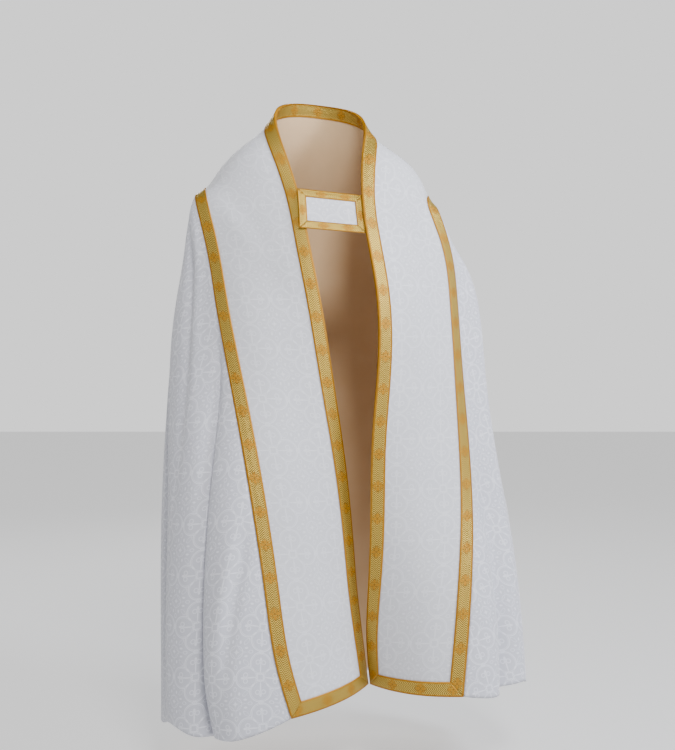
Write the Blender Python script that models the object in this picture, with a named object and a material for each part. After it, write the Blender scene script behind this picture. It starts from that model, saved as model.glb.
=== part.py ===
"""Cope: a lined ceremonial cloak, in the hollow form that it has when worn, with no wearer in it.

Units are metres. +Z is up, -Y is the wearer's front and +X is the wearer's left. The origin lies
between the shoulders, at the height where the cope bears on them. Right and left are the wearer's.
"""
import math

import bmesh
import bpy
import numpy as np

# Cloth thicknesses, from the outer face inwards, the gap kept between any two pieces, and the gap
# under a galloon.
CLOTH = 0.0020
LINING = 0.0010
GALLOON = 0.0012
GAP = 0.0003
TRIM_GAP = 0.0009

GALLOON_WIDTH = 0.030
MITRE_STEP = 0.004

# The orphrey is one long band. It runs up the right front, round the neck and down the left front.
# Its inner edge is the opening of the cope, and its seam joins it to the body. Bow is how far the
# middle of the band stands out from the straight line between the two.
#   station        edge x   edge y  edge z    seam x   seam y  seam z   bow
ORPHREY = [
    ("hem",        0.098, -0.065, -1.182,   -0.064, -0.200, -1.215,  0.025),
    ("shin",       0.083, -0.072, -1.060,   -0.099, -0.210, -1.085,  0.022),
    ("knee",       0.072, -0.085, -0.960,   -0.118, -0.212, -0.955,  0.020),
    ("thigh",      0.062, -0.102, -0.830,   -0.137, -0.208, -0.825,  0.020),
    ("hip",        0.045, -0.125, -0.670,   -0.165, -0.190, -0.665,  0.020),
    ("waist",      0.022, -0.143, -0.510,   -0.199, -0.150, -0.500,  0.018),
    ("ribs",      -0.004, -0.150, -0.345,   -0.231, -0.108, -0.345,  0.014),
    ("chest",     -0.031, -0.140, -0.209,   -0.257, -0.072, -0.215,  0.008),
    ("shoulder",  -0.062, -0.092, -0.080,   -0.286, -0.015, -0.105,  0.016),
    ("slope",     -0.094, -0.045,  0.018,   -0.268,  0.058, -0.109,  0.042),
    ("collar",    -0.108,  0.010,  0.088,   -0.205,  0.130, -0.110,  0.012),
    ("nape",       0.000,  0.090,  0.122,    0.000,  0.200, -0.100, -0.014),
    ("collar",     0.092,  0.010,  0.062,    0.176,  0.132, -0.120,  0.012),
    ("slope",      0.086, -0.045, -0.010,    0.240,  0.062, -0.126,  0.046),
    ("shoulder",   0.083, -0.088, -0.082,    0.252,  0.000, -0.128,  0.016),
    ("chest",      0.090, -0.140, -0.185,    0.279, -0.012, -0.205,  0.010),
    ("ribs",       0.112, -0.178, -0.325,    0.296, -0.025, -0.320,  0.014),
    ("waist",      0.116, -0.183, -0.480,    0.305, -0.045, -0.475,  0.016),
    ("hip",        0.104, -0.168, -0.640,    0.317, -0.065, -0.640,  0.016),
    ("thigh",      0.101, -0.140, -0.800,    0.323, -0.095, -0.800,  0.018),
    ("knee",       0.098, -0.110, -0.950,    0.317, -0.135, -0.935,  0.022),
    ("shin",       0.095, -0.085, -1.070,    0.307, -0.158, -1.055,  0.025),
    ("hem",        0.104, -0.065, -1.182,    0.295, -0.170, -1.179,  0.028),
]
RIGHT_SHOULDER = 8
NAPE = 11
LEFT_SHOULDER = 14

# Sections of the body, from the shoulders down to the hem. Down is the share of the front seam's
# length. Each section gives its reach to either side and behind, and the heights there.
#    down    right x      y       z     back y     back z    left x      y       z
SECTIONS = [
    (0.00,  -0.286,  -0.015, -0.105,    0.200,   -0.100,    0.252,   0.000, -0.128),
    (0.08,  -0.313,   0.030, -0.195,    0.214,   -0.195,    0.284,   0.030, -0.195),
    (0.13,  -0.324,   0.040, -0.250,    0.219,   -0.250,    0.320,   0.040, -0.250),
    (0.20,  -0.336,   0.045, -0.325,    0.223,   -0.330,    0.350,   0.045, -0.330),
    (0.35,  -0.352,   0.050, -0.495,    0.230,   -0.500,    0.367,   0.045, -0.495),
    (0.50,  -0.359,   0.050, -0.670,    0.240,   -0.670,    0.386,   0.045, -0.655),
    (0.65,  -0.363,   0.050, -0.850,    0.250,   -0.840,    0.414,   0.050, -0.810),
    (0.80,  -0.366,   0.050, -1.028,    0.260,   -1.010,    0.434,   0.050, -0.975),
    (1.00,  -0.370,   0.050, -1.277,    0.275,   -1.250,    0.454,   0.050, -1.197),
]
SECTION_SQUARENESS = 2.35
HEM_SWEEP = 0.8

# Folds of the body. At is where a fold lies between the front seam (0) and the centre back (1),
# drift moves it by that much at the hem, depth is out (+) or in (-) at the hem, half is its half
# width, and down is where it begins.
#    side      at      drift   depth    half    down
FOLDS = [
    ("right", 0.022,   0.172, -0.052,   0.022,  0.20),
    ("right", 0.020,   0.110,  0.010,   0.040,  0.30),
    ("right", 0.180,   0.120,  0.010,   0.034,  0.30),
    ("right", 0.600,   0.020, -0.042,   0.026,  0.35),
    ("right", 0.800,   0.000,  0.010,   0.060,  0.30),
    ("left",  0.045,   0.092, -0.042,   0.022,  0.40),
    ("left",  0.180,   0.030,  0.008,   0.036,  0.30),
    ("left",  0.520,   0.020, -0.042,   0.026,  0.35),
    ("left",  0.850,   0.000,  0.014,   0.060,  0.25),
]

# Where the hem hangs higher than its section says: at is the place, half the half width there.
#    side      at      half     lift
HEM_LIFTS = [
    ("right", 0.310,   0.045,   0.026),
    ("left",  0.200,   0.045,   0.022),
]

# A curve leaves the front seam and meets the flank with handles of this share of its reach. The
# upper body settles onto the orphrey's back seam over the first share of its length.
HANDLE_SHARE = 0.42
SETTLE_SHARE = 0.30
MIDDLE_LINE = np.array([0.03, 0.02, 0.0])

# The mesh: rows down the body above the hem galloon, and columns across each half of it, crowded
# where the folds are near the hem. Fine is how closely curves are read.
BODY_ROWS = 9
HALF_COLUMNS = 20
FOLD_CROWDING = 1.8
FOLD_CROWDING_WIDTH = 0.06
CROWDED_AT = 0.8
FINE = 240
TANGENT_STEP = 0.002
NECK_INSIDE_COLUMNS = 13

# The hood is a shield with round lower corners. It hangs on the back, below the orphrey's seam,
# and stands a little further off the back towards its bottom.
HOOD_WIDTH = 0.515
HOOD_HEIGHT = 0.450
HOOD_CORNER = 0.100
HOOD_BELOW_SEAM = 0.003
HOOD_LIFT_TOP = 0.0060
HOOD_LIFT_BOTTOM = 0.017
HOOD_LIFT_SIDES = 0.008
HOOD_FRAME_INSET = 0.049
HOOD_TRIM_GAP = 0.0019
HOOD_COLUMNS = 20
HOOD_SIDE_STEPS = 7
HOOD_CORNER_STEPS = 6
BACK_ROWS = 21
BACK_COLUMNS = 61

# The fringe hangs from the hood's edge. Its solid is as thick as the strands are deep.
FRINGE_SIDE = 0.030
FRINGE_BOTTOM = 0.062
FRINGE_SHARE_OF_LIFT = 0.45

# The morse is the clasp across the opening. Its right end lies on the galloon of the right front,
# and its left end goes in behind the left front.
MORSE_TOP = -0.108
MORSE_BOTTOM = -0.196
MORSE_TILT = -0.007
MORSE_LAP_TOP = 0.001
MORSE_LAP_BOTTOM = 0.015
MORSE_TUCK = 0.006
MORSE_OVER = 0.0070
MORSE_UNDER = 0.0080
MORSE_THICKNESS = 0.0024
MORSE_FRAME = 0.0185
MORSE_COLUMNS = 6
MORSE_ROWS = 4

# Plain colours: red, green, blue and roughness.
WHITE_DAMASK = (0.78, 0.79, 0.82, 0.55)
GOLD_GALLOON = (0.62, 0.44, 0.13, 0.40)
CREAM_LINING = (0.76, 0.66, 0.55, 0.60)
GOLD_FRINGE = (0.50, 0.36, 0.13, 0.50)


def natural_spline(knots, values, at):
    """Read a natural cubic spline through values (one row per knot) at each place in at."""
    knots = np.asarray(knots, float)
    values = np.asarray(values, float)
    step = np.diff(knots)
    count = len(knots)
    system = np.eye(count)
    right = np.zeros_like(values)
    for i in range(1, count - 1):
        system[i, i - 1] = step[i - 1]
        system[i, i] = 2.0 * (step[i - 1] + step[i])
        system[i, i + 1] = step[i]
        right[i] = 6.0 * ((values[i + 1] - values[i]) / step[i] - (values[i] - values[i - 1]) / step[i - 1])
    bend = np.linalg.solve(system, right)
    at = np.atleast_1d(np.asarray(at, float))
    low = np.clip(np.searchsorted(knots, at) - 1, 0, count - 2)
    width = step[low][:, None]
    near = (knots[low + 1] - at)[:, None] / width
    far = 1.0 - near
    curve = near * values[low] + far * values[low + 1]
    return curve + ((near**3 - near) * bend[low] + (far**3 - far) * bend[low + 1]) * width**2 / 6.0


def lengths_along(points):
    """The running length of a line of points, starting at 0."""
    return np.concatenate([[0.0], np.cumsum(np.linalg.norm(np.diff(points, axis=0), axis=1))])


def read_at_shares(points, shares):
    """Points at the given shares of a line's length."""
    run = lengths_along(points)
    return np.stack([np.interp(shares * run[-1], run, points[:, axis]) for axis in range(3)], axis=1)


def unit(vectors):
    return vectors / np.linalg.norm(vectors, axis=-1, keepdims=True)


def smoothstep(value):
    value = np.clip(value, 0.0, 1.0)
    return value * value * (3.0 - 2.0 * value)


class Band:
    """The orphrey: a point is at s along the band and at d across it, from the opening."""

    def __init__(self):
        rows = np.array([row[1:] for row in ORPHREY])
        middle = 0.5 * (rows[:, 0:3] + rows[:, 3:6])
        self.rows = rows
        self.knots = lengths_along(middle)

    def frame(self, s):
        edge_seam_bow = natural_spline(self.knots, self.rows, s)
        edge = edge_seam_bow[:, 0:3]
        seam = edge_seam_bow[:, 3:6]
        bow = edge_seam_bow[:, 6:7]
        ahead = natural_spline(self.knots, self.rows, np.minimum(s + TANGENT_STEP, self.knots[-1]))
        behind = natural_spline(self.knots, self.rows, np.maximum(s - TANGENT_STEP, 0.0))
        along = unit(0.5 * (ahead[:, 0:3] + ahead[:, 3:6]) - 0.5 * (behind[:, 0:3] + behind[:, 3:6]))
        out = unit(np.cross(along, unit(seam - edge)))
        return edge, seam, bow, out

    def width(self, s):
        edge, seam, bow, _ = self.frame(s)
        chord = np.linalg.norm(seam - edge, axis=1)
        return chord + 8.0 * bow[:, 0] ** 2 / (3.0 * chord)

    def grid(self, s, share):
        """Points for each s (rows) and each share of the width (columns)."""
        edge, seam, bow, out = self.frame(s)
        t = share[..., None]
        straight = edge[:, None, :] * (1.0 - t) + seam[:, None, :] * t
        return straight + 4.0 * t * (1.0 - t) * bow[:, None, :] * out[:, None, :]


BAND = Band()


def body_rows_down():
    """Shares down the front seam. The last row is a galloon's width above the hem."""
    last = 1.0 - GALLOON_WIDTH / BAND.knots[RIGHT_SHOULDER]
    return np.append(np.linspace(0.0, last, BODY_ROWS), 1.0)


def half_columns(side):
    """Shares across one half of the body, crowded where the folds are."""
    fine = np.linspace(0.0, 1.0, FINE)
    crowd = np.ones(FINE)
    for fold_side, at, drift, _, _, _ in FOLDS:
        if fold_side == side:
            crowd += FOLD_CROWDING * np.exp(-(((fine - at - CROWDED_AT * drift) / FOLD_CROWDING_WIDTH) ** 2))
    run = np.concatenate([[0.0], np.cumsum(0.5 * (crowd[1:] + crowd[:-1]))])
    return np.interp(np.linspace(0.0, run[-1], HALF_COLUMNS + 1), run, fine)


def seam_place(side, down):
    """The band's s where a body row meets the front seam."""
    if side == "right":
        return BAND.knots[RIGHT_SHOULDER] * (1.0 - down)
    start = BAND.knots[LEFT_SHOULDER]
    return start + (BAND.knots[-1] - start) * down


def back_seam_places(side, shares):
    """The band's s at shares of the back seam, from a shoulder to the centre back."""
    shoulder = BAND.knots[RIGHT_SHOULDER if side == "right" else LEFT_SHOULDER]
    s = np.linspace(shoulder, BAND.knots[NAPE], FINE)
    seam = BAND.frame(s)[1]
    run = lengths_along(seam)
    return np.interp(shares * run[-1], run, s)


def section_line(side, down):
    """A fine line round half of one section, from the front seam to the centre back."""
    table = np.array(SECTIONS)
    row = natural_spline(table[:, 0], table[:, 1:], down)[0]
    flank = row[0:3] if side == "right" else row[5:8]
    back = np.array([0.0, row[3], row[4]])
    place = np.array([seam_place(side, down)])
    near_seam = BAND.grid(place, np.array([[0.97, 1.0]]))[0]
    leave = unit(near_seam[1] - near_seam[0])
    start = near_seam[1]
    reach = np.linalg.norm(flank - start)
    first = start + HANDLE_SHARE * reach * leave
    first[2] += HEM_SWEEP * (flank[2] - start[2])
    second = flank - np.array([0.0, HANDLE_SHARE * reach, 0.0])
    t = np.linspace(0.0, 1.0, FINE)[:, None]
    front = (1 - t)**3 * start + 3 * (1 - t)**2 * t * first + 3 * (1 - t) * t**2 * second + t**3 * flank
    angle = np.linspace(0.0, 0.5 * math.pi, FINE)
    power = 2.0 / SECTION_SQUARENESS
    x = flank[0] * np.cos(angle) ** power
    y = flank[1] + (back[1] - flank[1]) * np.sin(angle) ** power
    z = flank[2] + (back[2] - flank[2]) * np.sin(angle) ** 2
    x[-1] = 0.0
    return np.concatenate([front, np.stack([x, y, z], axis=1)[1:]])


def body_half(side, down, shares):
    """The outer face of one half of the body: rows down, columns from seam to centre back."""
    rows = np.array([read_at_shares(section_line(side, share), shares) for share in down])
    back_seam = BAND.frame(back_seam_places(side, shares))[1]
    settle = (1.0 - smoothstep(down / SETTLE_SHARE))[:, None, None]
    rows = rows + settle * (back_seam - rows[0])
    seam = BAND.frame(seam_place(side, down))[1]
    for lift_side, at, half, lift in HEM_LIFTS:
        if lift_side == side:
            reach = smoothstep(2.0 * down - 1.0)[:, None]
            rows[..., 2] += lift * reach * np.exp(-0.5 * ((shares[None, :] - at) / half) ** 2)
    rows[:, 0] = seam
    sideways = np.gradient(rows, axis=1)
    sideways[..., 2] = 0.0
    turn = -1.0 if side == "right" else 1.0
    out = unit(np.stack([sideways[..., 1], -sideways[..., 0], np.zeros_like(shares + rows[..., 0])], axis=-1))
    girth = np.array([lengths_along(row)[-1] for row in rows])[:, None]
    for fold_side, at, drift, depth, half, start in FOLDS:
        if fold_side != side:
            continue
        grow = smoothstep((down - start) / (1.0 - start))[:, None]
        centre = at + drift * grow
        across = (shares[None, :] - centre) * girth
        rise = depth * grow * np.exp(-0.5 * (across / half) ** 2)
        rows = rows + turn * rise[..., None] * out
    rows[:, 0] = seam
    return rows


def outward_normals(points):
    """Normals of a grid of points, turned so that most point away from the cope's middle line."""
    down = np.gradient(points, axis=0)
    across = np.gradient(points, axis=1)
    normals = unit(np.cross(across, down))
    away = points - MIDDLE_LINE
    away[..., 2] = 0.0
    return -normals if np.sum(normals * away) < 0.0 else normals


def make_material(name, colour):
    material = bpy.data.materials.new(name)
    material.use_nodes = True
    shader = material.node_tree.nodes["Principled BSDF"]
    shader.inputs["Base Color"].default_value = (*colour[:3], 1.0)
    shader.inputs["Roughness"].default_value = colour[3]
    return material


def sheet_solid(name, outer, inner, colour, ring=False):
    """A closed solid between two grids of points. A ring joins its last column to its first."""
    rows, columns = outer.shape[:2]
    mesh = bpy.data.meshes.new(name)
    build = bmesh.new()
    tops = [[build.verts.new(point) for point in row] for row in outer.tolist()]
    bottoms = [[build.verts.new(point) for point in row] for row in inner.tolist()]

    def cell(a, b, c, d):
        build.faces.new((a, b, c))
        build.faces.new((a, c, d))

    spans = columns if ring else columns - 1
    for i in range(rows - 1):
        for j in range(spans):
            k = (j + 1) % columns
            cell(tops[i][j], tops[i][k], tops[i + 1][k], tops[i + 1][j])
            cell(bottoms[i][j], bottoms[i + 1][j], bottoms[i + 1][k], bottoms[i][k])
    for j in range(spans):
        k = (j + 1) % columns
        cell(tops[0][k], tops[0][j], bottoms[0][j], bottoms[0][k])
        cell(tops[-1][j], tops[-1][k], bottoms[-1][k], bottoms[-1][j])
    if not ring:
        for i in range(rows - 1):
            cell(tops[i][0], tops[i + 1][0], bottoms[i + 1][0], bottoms[i][0])
            cell(tops[i + 1][-1], tops[i][-1], bottoms[i][-1], bottoms[i + 1][-1])
    bmesh.ops.recalc_face_normals(build, faces=build.faces)
    build.to_mesh(mesh)
    build.free()
    mesh.shade_smooth()
    mesh.set_sharp_from_angle(angle=math.radians(40.0))
    mesh.materials.append(make_material(name, colour))
    thing = bpy.data.objects.new(name, mesh)
    bpy.context.scene.collection.objects.link(thing)
    return thing


def layer(points, normals, top, thickness):
    """The outer and inner grids of a layer whose outer face lies top above the cloth's face."""
    return points + top * normals, points + (top - thickness) * normals


def drawn_in(points, side, amount):
    """The same grid with one boundary drawn in by amount, to leave a gap at a seam."""
    moved = points.copy()
    if side == "first column":
        moved[:, 0] += amount * unit(points[:, 1] - points[:, 0])
    elif side == "last column":
        moved[:, -1] += amount * unit(points[:, -2] - points[:, -1])
    elif side == "first row":
        moved[0] += amount * unit(points[1] - points[0])
    elif side == "last row":
        moved[-1] += amount * unit(points[-2] - points[-1])
    return moved


def clear_scene():
    for thing in list(bpy.data.objects):
        bpy.data.objects.remove(thing, do_unlink=True)


# The band's grid. Its columns follow the body's rows and columns, so the seam's points are shared.
# The body's two halves run on from each other: right seam, centre back, left seam.
DOWN = body_rows_down()
RIGHT_BODY = body_half("right", DOWN, half_columns("right"))
LEFT_BODY = body_half("left", DOWN, half_columns("left"))[:, ::-1]
S_PLACES = np.concatenate([
    seam_place("right", DOWN[::-1]),
    back_seam_places("right", half_columns("right"))[1:],
    back_seam_places("left", half_columns("left"))[::-1][1:],
    seam_place("left", DOWN)[1:],
])
ROWS = len(DOWN)
NAPE_ROW = ROWS - 1 + HALF_COLUMNS
BAND_WIDTHS = BAND.width(S_PLACES)
TRIM_SHARE = GALLOON_WIDTH / BAND_WIDTHS
ACROSS = np.stack([
    np.zeros_like(TRIM_SHARE),
    TRIM_SHARE,
    TRIM_SHARE + (1.0 - 2.0 * TRIM_SHARE) / 3.0,
    TRIM_SHARE + (1.0 - 2.0 * TRIM_SHARE) * 2.0 / 3.0,
    1.0 - TRIM_SHARE,
    np.ones_like(TRIM_SHARE),
], axis=1)
BAND_POINTS = BAND.grid(S_PLACES, ACROSS)
BAND_NORMALS = outward_normals(BAND_POINTS)
LAST = BAND_POINTS.shape[1] - 1


def body_normals():
    """Normals of both halves, shared with the band along its seam and with each other behind."""
    halves = []
    for points in (RIGHT_BODY, LEFT_BODY):
        halves.append(outward_normals(points))
    right, left = halves
    centre = unit(right[:, -1] + left[:, 0])
    right[:, -1] = centre
    left[:, 0] = centre
    seams = BAND_NORMALS[:, LAST]
    up_right = slice(0, ROWS)
    over_right = slice(ROWS - 1, NAPE_ROW + 1)
    over_left = slice(NAPE_ROW, NAPE_ROW + HALF_COLUMNS + 1)
    down_left = slice(NAPE_ROW + HALF_COLUMNS, None)
    right[:, 0] = unit(right[:, 0] + seams[up_right][::-1])
    right[0] = unit(right[0] + seams[over_right])
    left[0] = unit(left[0] + seams[over_left])
    left[:, -1] = unit(left[:, -1] + seams[down_left])
    seams[up_right] = right[:, 0][::-1]
    seams[over_right] = right[0]
    seams[over_left] = left[0]
    seams[down_left] = left[:, -1]
    return right, left


RIGHT_NORMALS, LEFT_NORMALS = body_normals()


def build_body():
    for name, points, normals, seam, centre in (
        ("body_right", RIGHT_BODY, RIGHT_NORMALS, "first column", "last column"),
        ("body_left", LEFT_BODY, LEFT_NORMALS, "last column", "first column"),
    ):
        points = drawn_in(points, seam, GAP)
        points = drawn_in(points, centre, 0.5 * GAP)
        points = drawn_in(points, "first row", GAP)
        sheet_solid(name, *layer(points, normals, 0.0, CLOTH), WHITE_DAMASK)


def build_orphreys():
    right = drawn_in(BAND_POINTS[:NAPE_ROW + 1], "last row", 0.5 * GAP)
    left = drawn_in(BAND_POINTS[NAPE_ROW:], "first row", 0.5 * GAP)
    sheet_solid("orphrey_right", *layer(right, BAND_NORMALS[:NAPE_ROW + 1], 0.0, CLOTH), WHITE_DAMASK)
    sheet_solid("orphrey_left", *layer(left, BAND_NORMALS[NAPE_ROW:], 0.0, CLOTH), WHITE_DAMASK)


def build_linings():
    top = -(CLOTH + GAP)
    sheet_solid("lining_orphrey", *layer(BAND_POINTS, BAND_NORMALS, top, LINING), CREAM_LINING)
    points = np.concatenate([RIGHT_BODY, LEFT_BODY[:, 1:]], axis=1)
    normals = np.concatenate([RIGHT_NORMALS, LEFT_NORMALS[:, 1:]], axis=1)
    for side in ("first column", "last column", "first row"):
        points = drawn_in(points, side, GAP)
    sheet_solid("lining_body", *layer(points, normals, top, LINING), CREAM_LINING)


def trim_solid(name, points, normals):
    sheet_solid(name, *layer(points, normals, TRIM_GAP + GALLOON, GALLOON), GOLD_GALLOON)


def cut_corner(points, normals, corner, step, short):
    """Cut one end of a strip two columns wide on the corner's diagonal.

    The cut makes the strip's column named by short shorter by a galloon's width.
    """
    long = 1 - short
    next_row = corner + step
    after = points[next_row, short].copy()
    onward = unit(points[corner + 2 * step, short] - after)
    points[corner, long] += GAP * unit(points[next_row, long] - points[corner, long])
    points[corner, short] = after + GAP * onward
    points[next_row, short] = after + MITRE_STEP * onward
    normals[corner, short] = normals[next_row, short]


def build_galloons():
    """The four galloons of the orphrey, mitred where they meet at the hem's corners."""
    along_edge = (BAND_POINTS[:, 0:2], BAND_NORMALS[:, 0:2], 1)
    along_seam = (BAND_POINTS[:, LAST - 1:], BAND_NORMALS[:, LAST - 1:], 0)
    hem_right = (BAND_POINTS[:2].swapaxes(0, 1), BAND_NORMALS[:2].swapaxes(0, 1), 1)
    hem_left = (BAND_POINTS[-2:].swapaxes(0, 1), BAND_NORMALS[-2:].swapaxes(0, 1), 0)
    for name, strip in (
        ("galloon_edge", along_edge),
        ("galloon_seam", along_seam),
        ("galloon_hem_right", hem_right),
        ("galloon_hem_left", hem_left),
    ):
        points = strip[0].copy()
        normals = strip[1].copy()
        cut_corner(points, normals, 0, 1, strip[2])
        cut_corner(points, normals, -1, -1, strip[2])
        trim_solid(name, points, normals)


def build_back_seam_galloon():
    """The upright galloon that covers the orphreys' join, from the neck to the seam galloon."""
    nape = BAND.knots[NAPE]
    s = nape + np.array([-0.5, 0.0, 0.5]) * GALLOON_WIDTH
    trim = GALLOON_WIDTH / BAND.width(s)
    inner = trim + GAP / BAND.width(s)
    outer = 1.0 - inner
    middle = np.linspace(0.0, 1.0, 4)
    share = inner[:, None] * (1.0 - middle) + outer[:, None] * middle
    points = BAND.grid(s, share)
    normals = outward_normals(points)
    trim_solid("galloon_back_seam", points, normals)


def build_neck_facing():
    """The galloon inside the neck, from one collar corner to the other."""
    rows = slice(NAPE_ROW - NECK_INSIDE_COLUMNS, NAPE_ROW + NECK_INSIDE_COLUMNS + 1)
    top = -(CLOTH + GAP + LINING + GAP)
    points = BAND_POINTS[rows, 0:2]
    sheet_solid("galloon_neck_inside", *layer(points, BAND_NORMALS[rows, 0:2], top, GALLOON), GOLD_GALLOON)


class Back:
    """The body's back, read finely: x to the left of the centre back, and drop below the seam."""

    def __init__(self):
        down = np.linspace(0.0, 0.5, BACK_ROWS)
        shares = np.linspace(0.0, 1.0, BACK_COLUMNS)
        right = body_half("right", down, shares)
        left = body_half("left", down, shares)[:, ::-1]
        self.points = np.concatenate([right, left[:, 1:]], axis=1)
        self.normals = outward_normals(self.points)
        self.drops = lengths_along(self.points[:, BACK_COLUMNS - 1])

    def read(self, x, drop):
        row = np.interp(drop, self.drops, np.arange(BACK_ROWS))
        low = min(int(row), BACK_ROWS - 2)
        part = row - low
        ring = (1.0 - part) * self.points[low] + part * self.points[low + 1]
        out = (1.0 - part) * self.normals[low] + part * self.normals[low + 1]
        run = lengths_along(ring)
        place = run[BACK_COLUMNS - 1] + x
        point = np.array([np.interp(place, run, ring[:, axis]) for axis in range(3)])
        normal = np.array([np.interp(place, run, out[:, axis]) for axis in range(3)])
        return point, unit(normal)


BACK = Back()


def hood_surface(places):
    """The hood's outer face and its normals, for a grid of (x, drop below the hood's top)."""
    points = np.zeros(places.shape[:2] + (3,))
    normals = np.zeros_like(points)
    lifts = np.zeros(places.shape[:2] + (1,))
    for i, row in enumerate(places):
        for j, (x, drop) in enumerate(row):
            share = min(max(drop / HOOD_HEIGHT, 0.0), 1.0)
            lift = HOOD_LIFT_TOP + (HOOD_LIFT_BOTTOM - HOOD_LIFT_TOP) * share
            lift += HOOD_LIFT_SIDES * (2.0 * x / HOOD_WIDTH) ** 2
            point, normal = BACK.read(x, HOOD_BELOW_SEAM + drop)
            points[i, j] = point + lift * normal
            normals[i, j] = normal
            lifts[i, j] = lift
    return points, normals, lifts


def hood_corner_angles():
    return np.linspace(0.0, 0.5 * math.pi, HOOD_CORNER_STEPS + 1)


def shield_path(side_out, bottom_out, start):
    """A line round the hood's sides and bottom, moved out from its edge (or in, when negative)."""
    half = 0.5 * HOOD_WIDTH - HOOD_CORNER
    floor = HOOD_HEIGHT - HOOD_CORNER
    right = [(-(0.5 * HOOD_WIDTH + side_out), drop)
             for drop in np.linspace(start, floor, HOOD_SIDE_STEPS + 1)]
    for angle in hood_corner_angles()[1:]:
        x = -(half + (HOOD_CORNER + side_out) * math.cos(angle))
        right.append((x, floor + (HOOD_CORNER + bottom_out) * math.sin(angle)))
    bottom = [(x, HOOD_HEIGHT + bottom_out) for x in np.linspace(-half, half, HOOD_COLUMNS // 2 + 1)[1:-1]]
    left = [(-x, drop) for x, drop in reversed(right)]
    return right + bottom + left


def build_hood():
    floor = HOOD_HEIGHT - HOOD_CORNER
    across = np.linspace(-1.0, 1.0, HOOD_COLUMNS + 1)
    rows = [(0.5 * HOOD_WIDTH, drop) for drop in np.linspace(0.0, floor, HOOD_SIDE_STEPS + 1)]
    for angle in hood_corner_angles()[1:]:
        half = 0.5 * HOOD_WIDTH - HOOD_CORNER * (1.0 - math.cos(angle))
        rows.append((half, floor + HOOD_CORNER * math.sin(angle)))
    places = np.array([[(half * share, drop) for share in across] for half, drop in rows])
    points, normals, _ = hood_surface(places)
    sheet_solid("hood", *layer(points, normals, 0.0, CLOTH), WHITE_DAMASK)


def build_hood_galloons():
    top = HOOD_TRIM_GAP + GALLOON
    outer = shield_path(0.0, 0.0, 0.0)
    inner = shield_path(-GALLOON_WIDTH, -GALLOON_WIDTH, 0.0)
    points, normals, _ = hood_surface(np.array([outer, inner]))
    sheet_solid("galloon_hood_border", *layer(points, normals, top, GALLOON), GOLD_GALLOON)
    rings = []
    for inset, start in ((HOOD_FRAME_INSET, 0.0), (HOOD_FRAME_INSET + GALLOON_WIDTH, GALLOON_WIDTH)):
        path = shield_path(-inset, -inset, start)
        width = path[-1][0]
        head = [(x, start) for x in np.linspace(width, -width, HOOD_COLUMNS + 1)[1:-1]]
        rings.append(path + head)
    points, normals, _ = hood_surface(np.array(rings))
    sheet_solid("galloon_hood_frame", *layer(points, normals, top, GALLOON), GOLD_GALLOON, ring=True)


def build_fringe():
    """It starts one step down the hood's sides, where the hood comes out from the galloon."""
    inner = shield_path(GAP, GAP, 0.0)[1:-1]
    outer = shield_path(FRINGE_SIDE, FRINGE_BOTTOM, 0.0)[1:-1]
    points, normals, lifts = hood_surface(np.array([inner, outer]))
    deep = FRINGE_SHARE_OF_LIFT * lifts
    sheet_solid("hood_fringe", points, points - deep * normals, GOLD_FRINGE)


def opening_place(side, height):
    """The band's s where the opening's edge is at a height."""
    start, end = (0.0, BAND.knots[NAPE]) if side == "right" else (BAND.knots[-1], BAND.knots[NAPE])
    s = np.linspace(start, end, FINE)
    heights = BAND.frame(s)[0][:, 2]
    return np.interp(height, heights, s)


def morse_line(side, distances, offset):
    """Points down one end of the morse, at distances (top, bottom) from the opening's edge."""
    tilt = 0.0 if side == "right" else MORSE_TILT
    s = opening_place(side, np.linspace(MORSE_TOP, MORSE_BOTTOM, MORSE_ROWS + 1) + tilt)
    distance = np.linspace(distances[0], distances[1], MORSE_ROWS + 1)[:, None]
    share = distance * np.array([0.0, 1.0, 2.0]) / BAND.width(s)[:, None]
    patch = BAND.grid(s, share)
    normals = outward_normals(patch)
    return patch[:, 1] + offset * normals[:, 1]


def framed_shares(frame, steps):
    """Shares of a side, with the first and last step as wide as the frame."""
    return np.concatenate([[0.0], np.linspace(frame, 1.0 - frame, steps - 1), [1.0]])


def build_morse():
    over = morse_line("right", (MORSE_LAP_TOP, MORSE_LAP_BOTTOM), MORSE_OVER)
    under = morse_line("left", (MORSE_TUCK, MORSE_TUCK), -MORSE_UNDER)
    width = np.linalg.norm(under - over, axis=1).mean()
    height = np.linalg.norm(over[-1] - over[0])
    across = framed_shares(MORSE_FRAME / width, MORSE_COLUMNS)
    down = framed_shares(MORSE_FRAME / height, MORSE_ROWS)
    shares = np.linspace(0.0, 1.0, MORSE_ROWS + 1)
    right_end = np.stack([np.interp(down, shares, over[:, axis]) for axis in range(3)], axis=1)
    left_end = np.stack([np.interp(down, shares, under[:, axis]) for axis in range(3)], axis=1)
    points = right_end[:, None] * (1.0 - across[None, :, None]) + left_end[:, None] * across[None, :, None]
    normals = outward_normals(points)
    sheet_solid("morse", *layer(points, normals, 0.0, MORSE_THICKNESS), WHITE_DAMASK)
    border = [(0, j) for j in range(MORSE_COLUMNS)] + [(i, MORSE_COLUMNS) for i in range(MORSE_ROWS)]
    border += [(MORSE_ROWS, j) for j in range(MORSE_COLUMNS, 0, -1)]
    border += [(i, 0) for i in range(MORSE_ROWS, 0, -1)]
    inside = [(min(max(i, 1), MORSE_ROWS - 1), min(max(j, 1), MORSE_COLUMNS - 1)) for i, j in border]
    frame_points = np.array([[points[place] for place in line] for line in (border, inside)])
    frame_normals = np.array([[normals[place] for place in line] for line in (border, inside)])
    grids = layer(frame_points, frame_normals, GAP + GALLOON, GALLOON)
    sheet_solid("galloon_morse", *grids, GOLD_GALLOON, ring=True)


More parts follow.
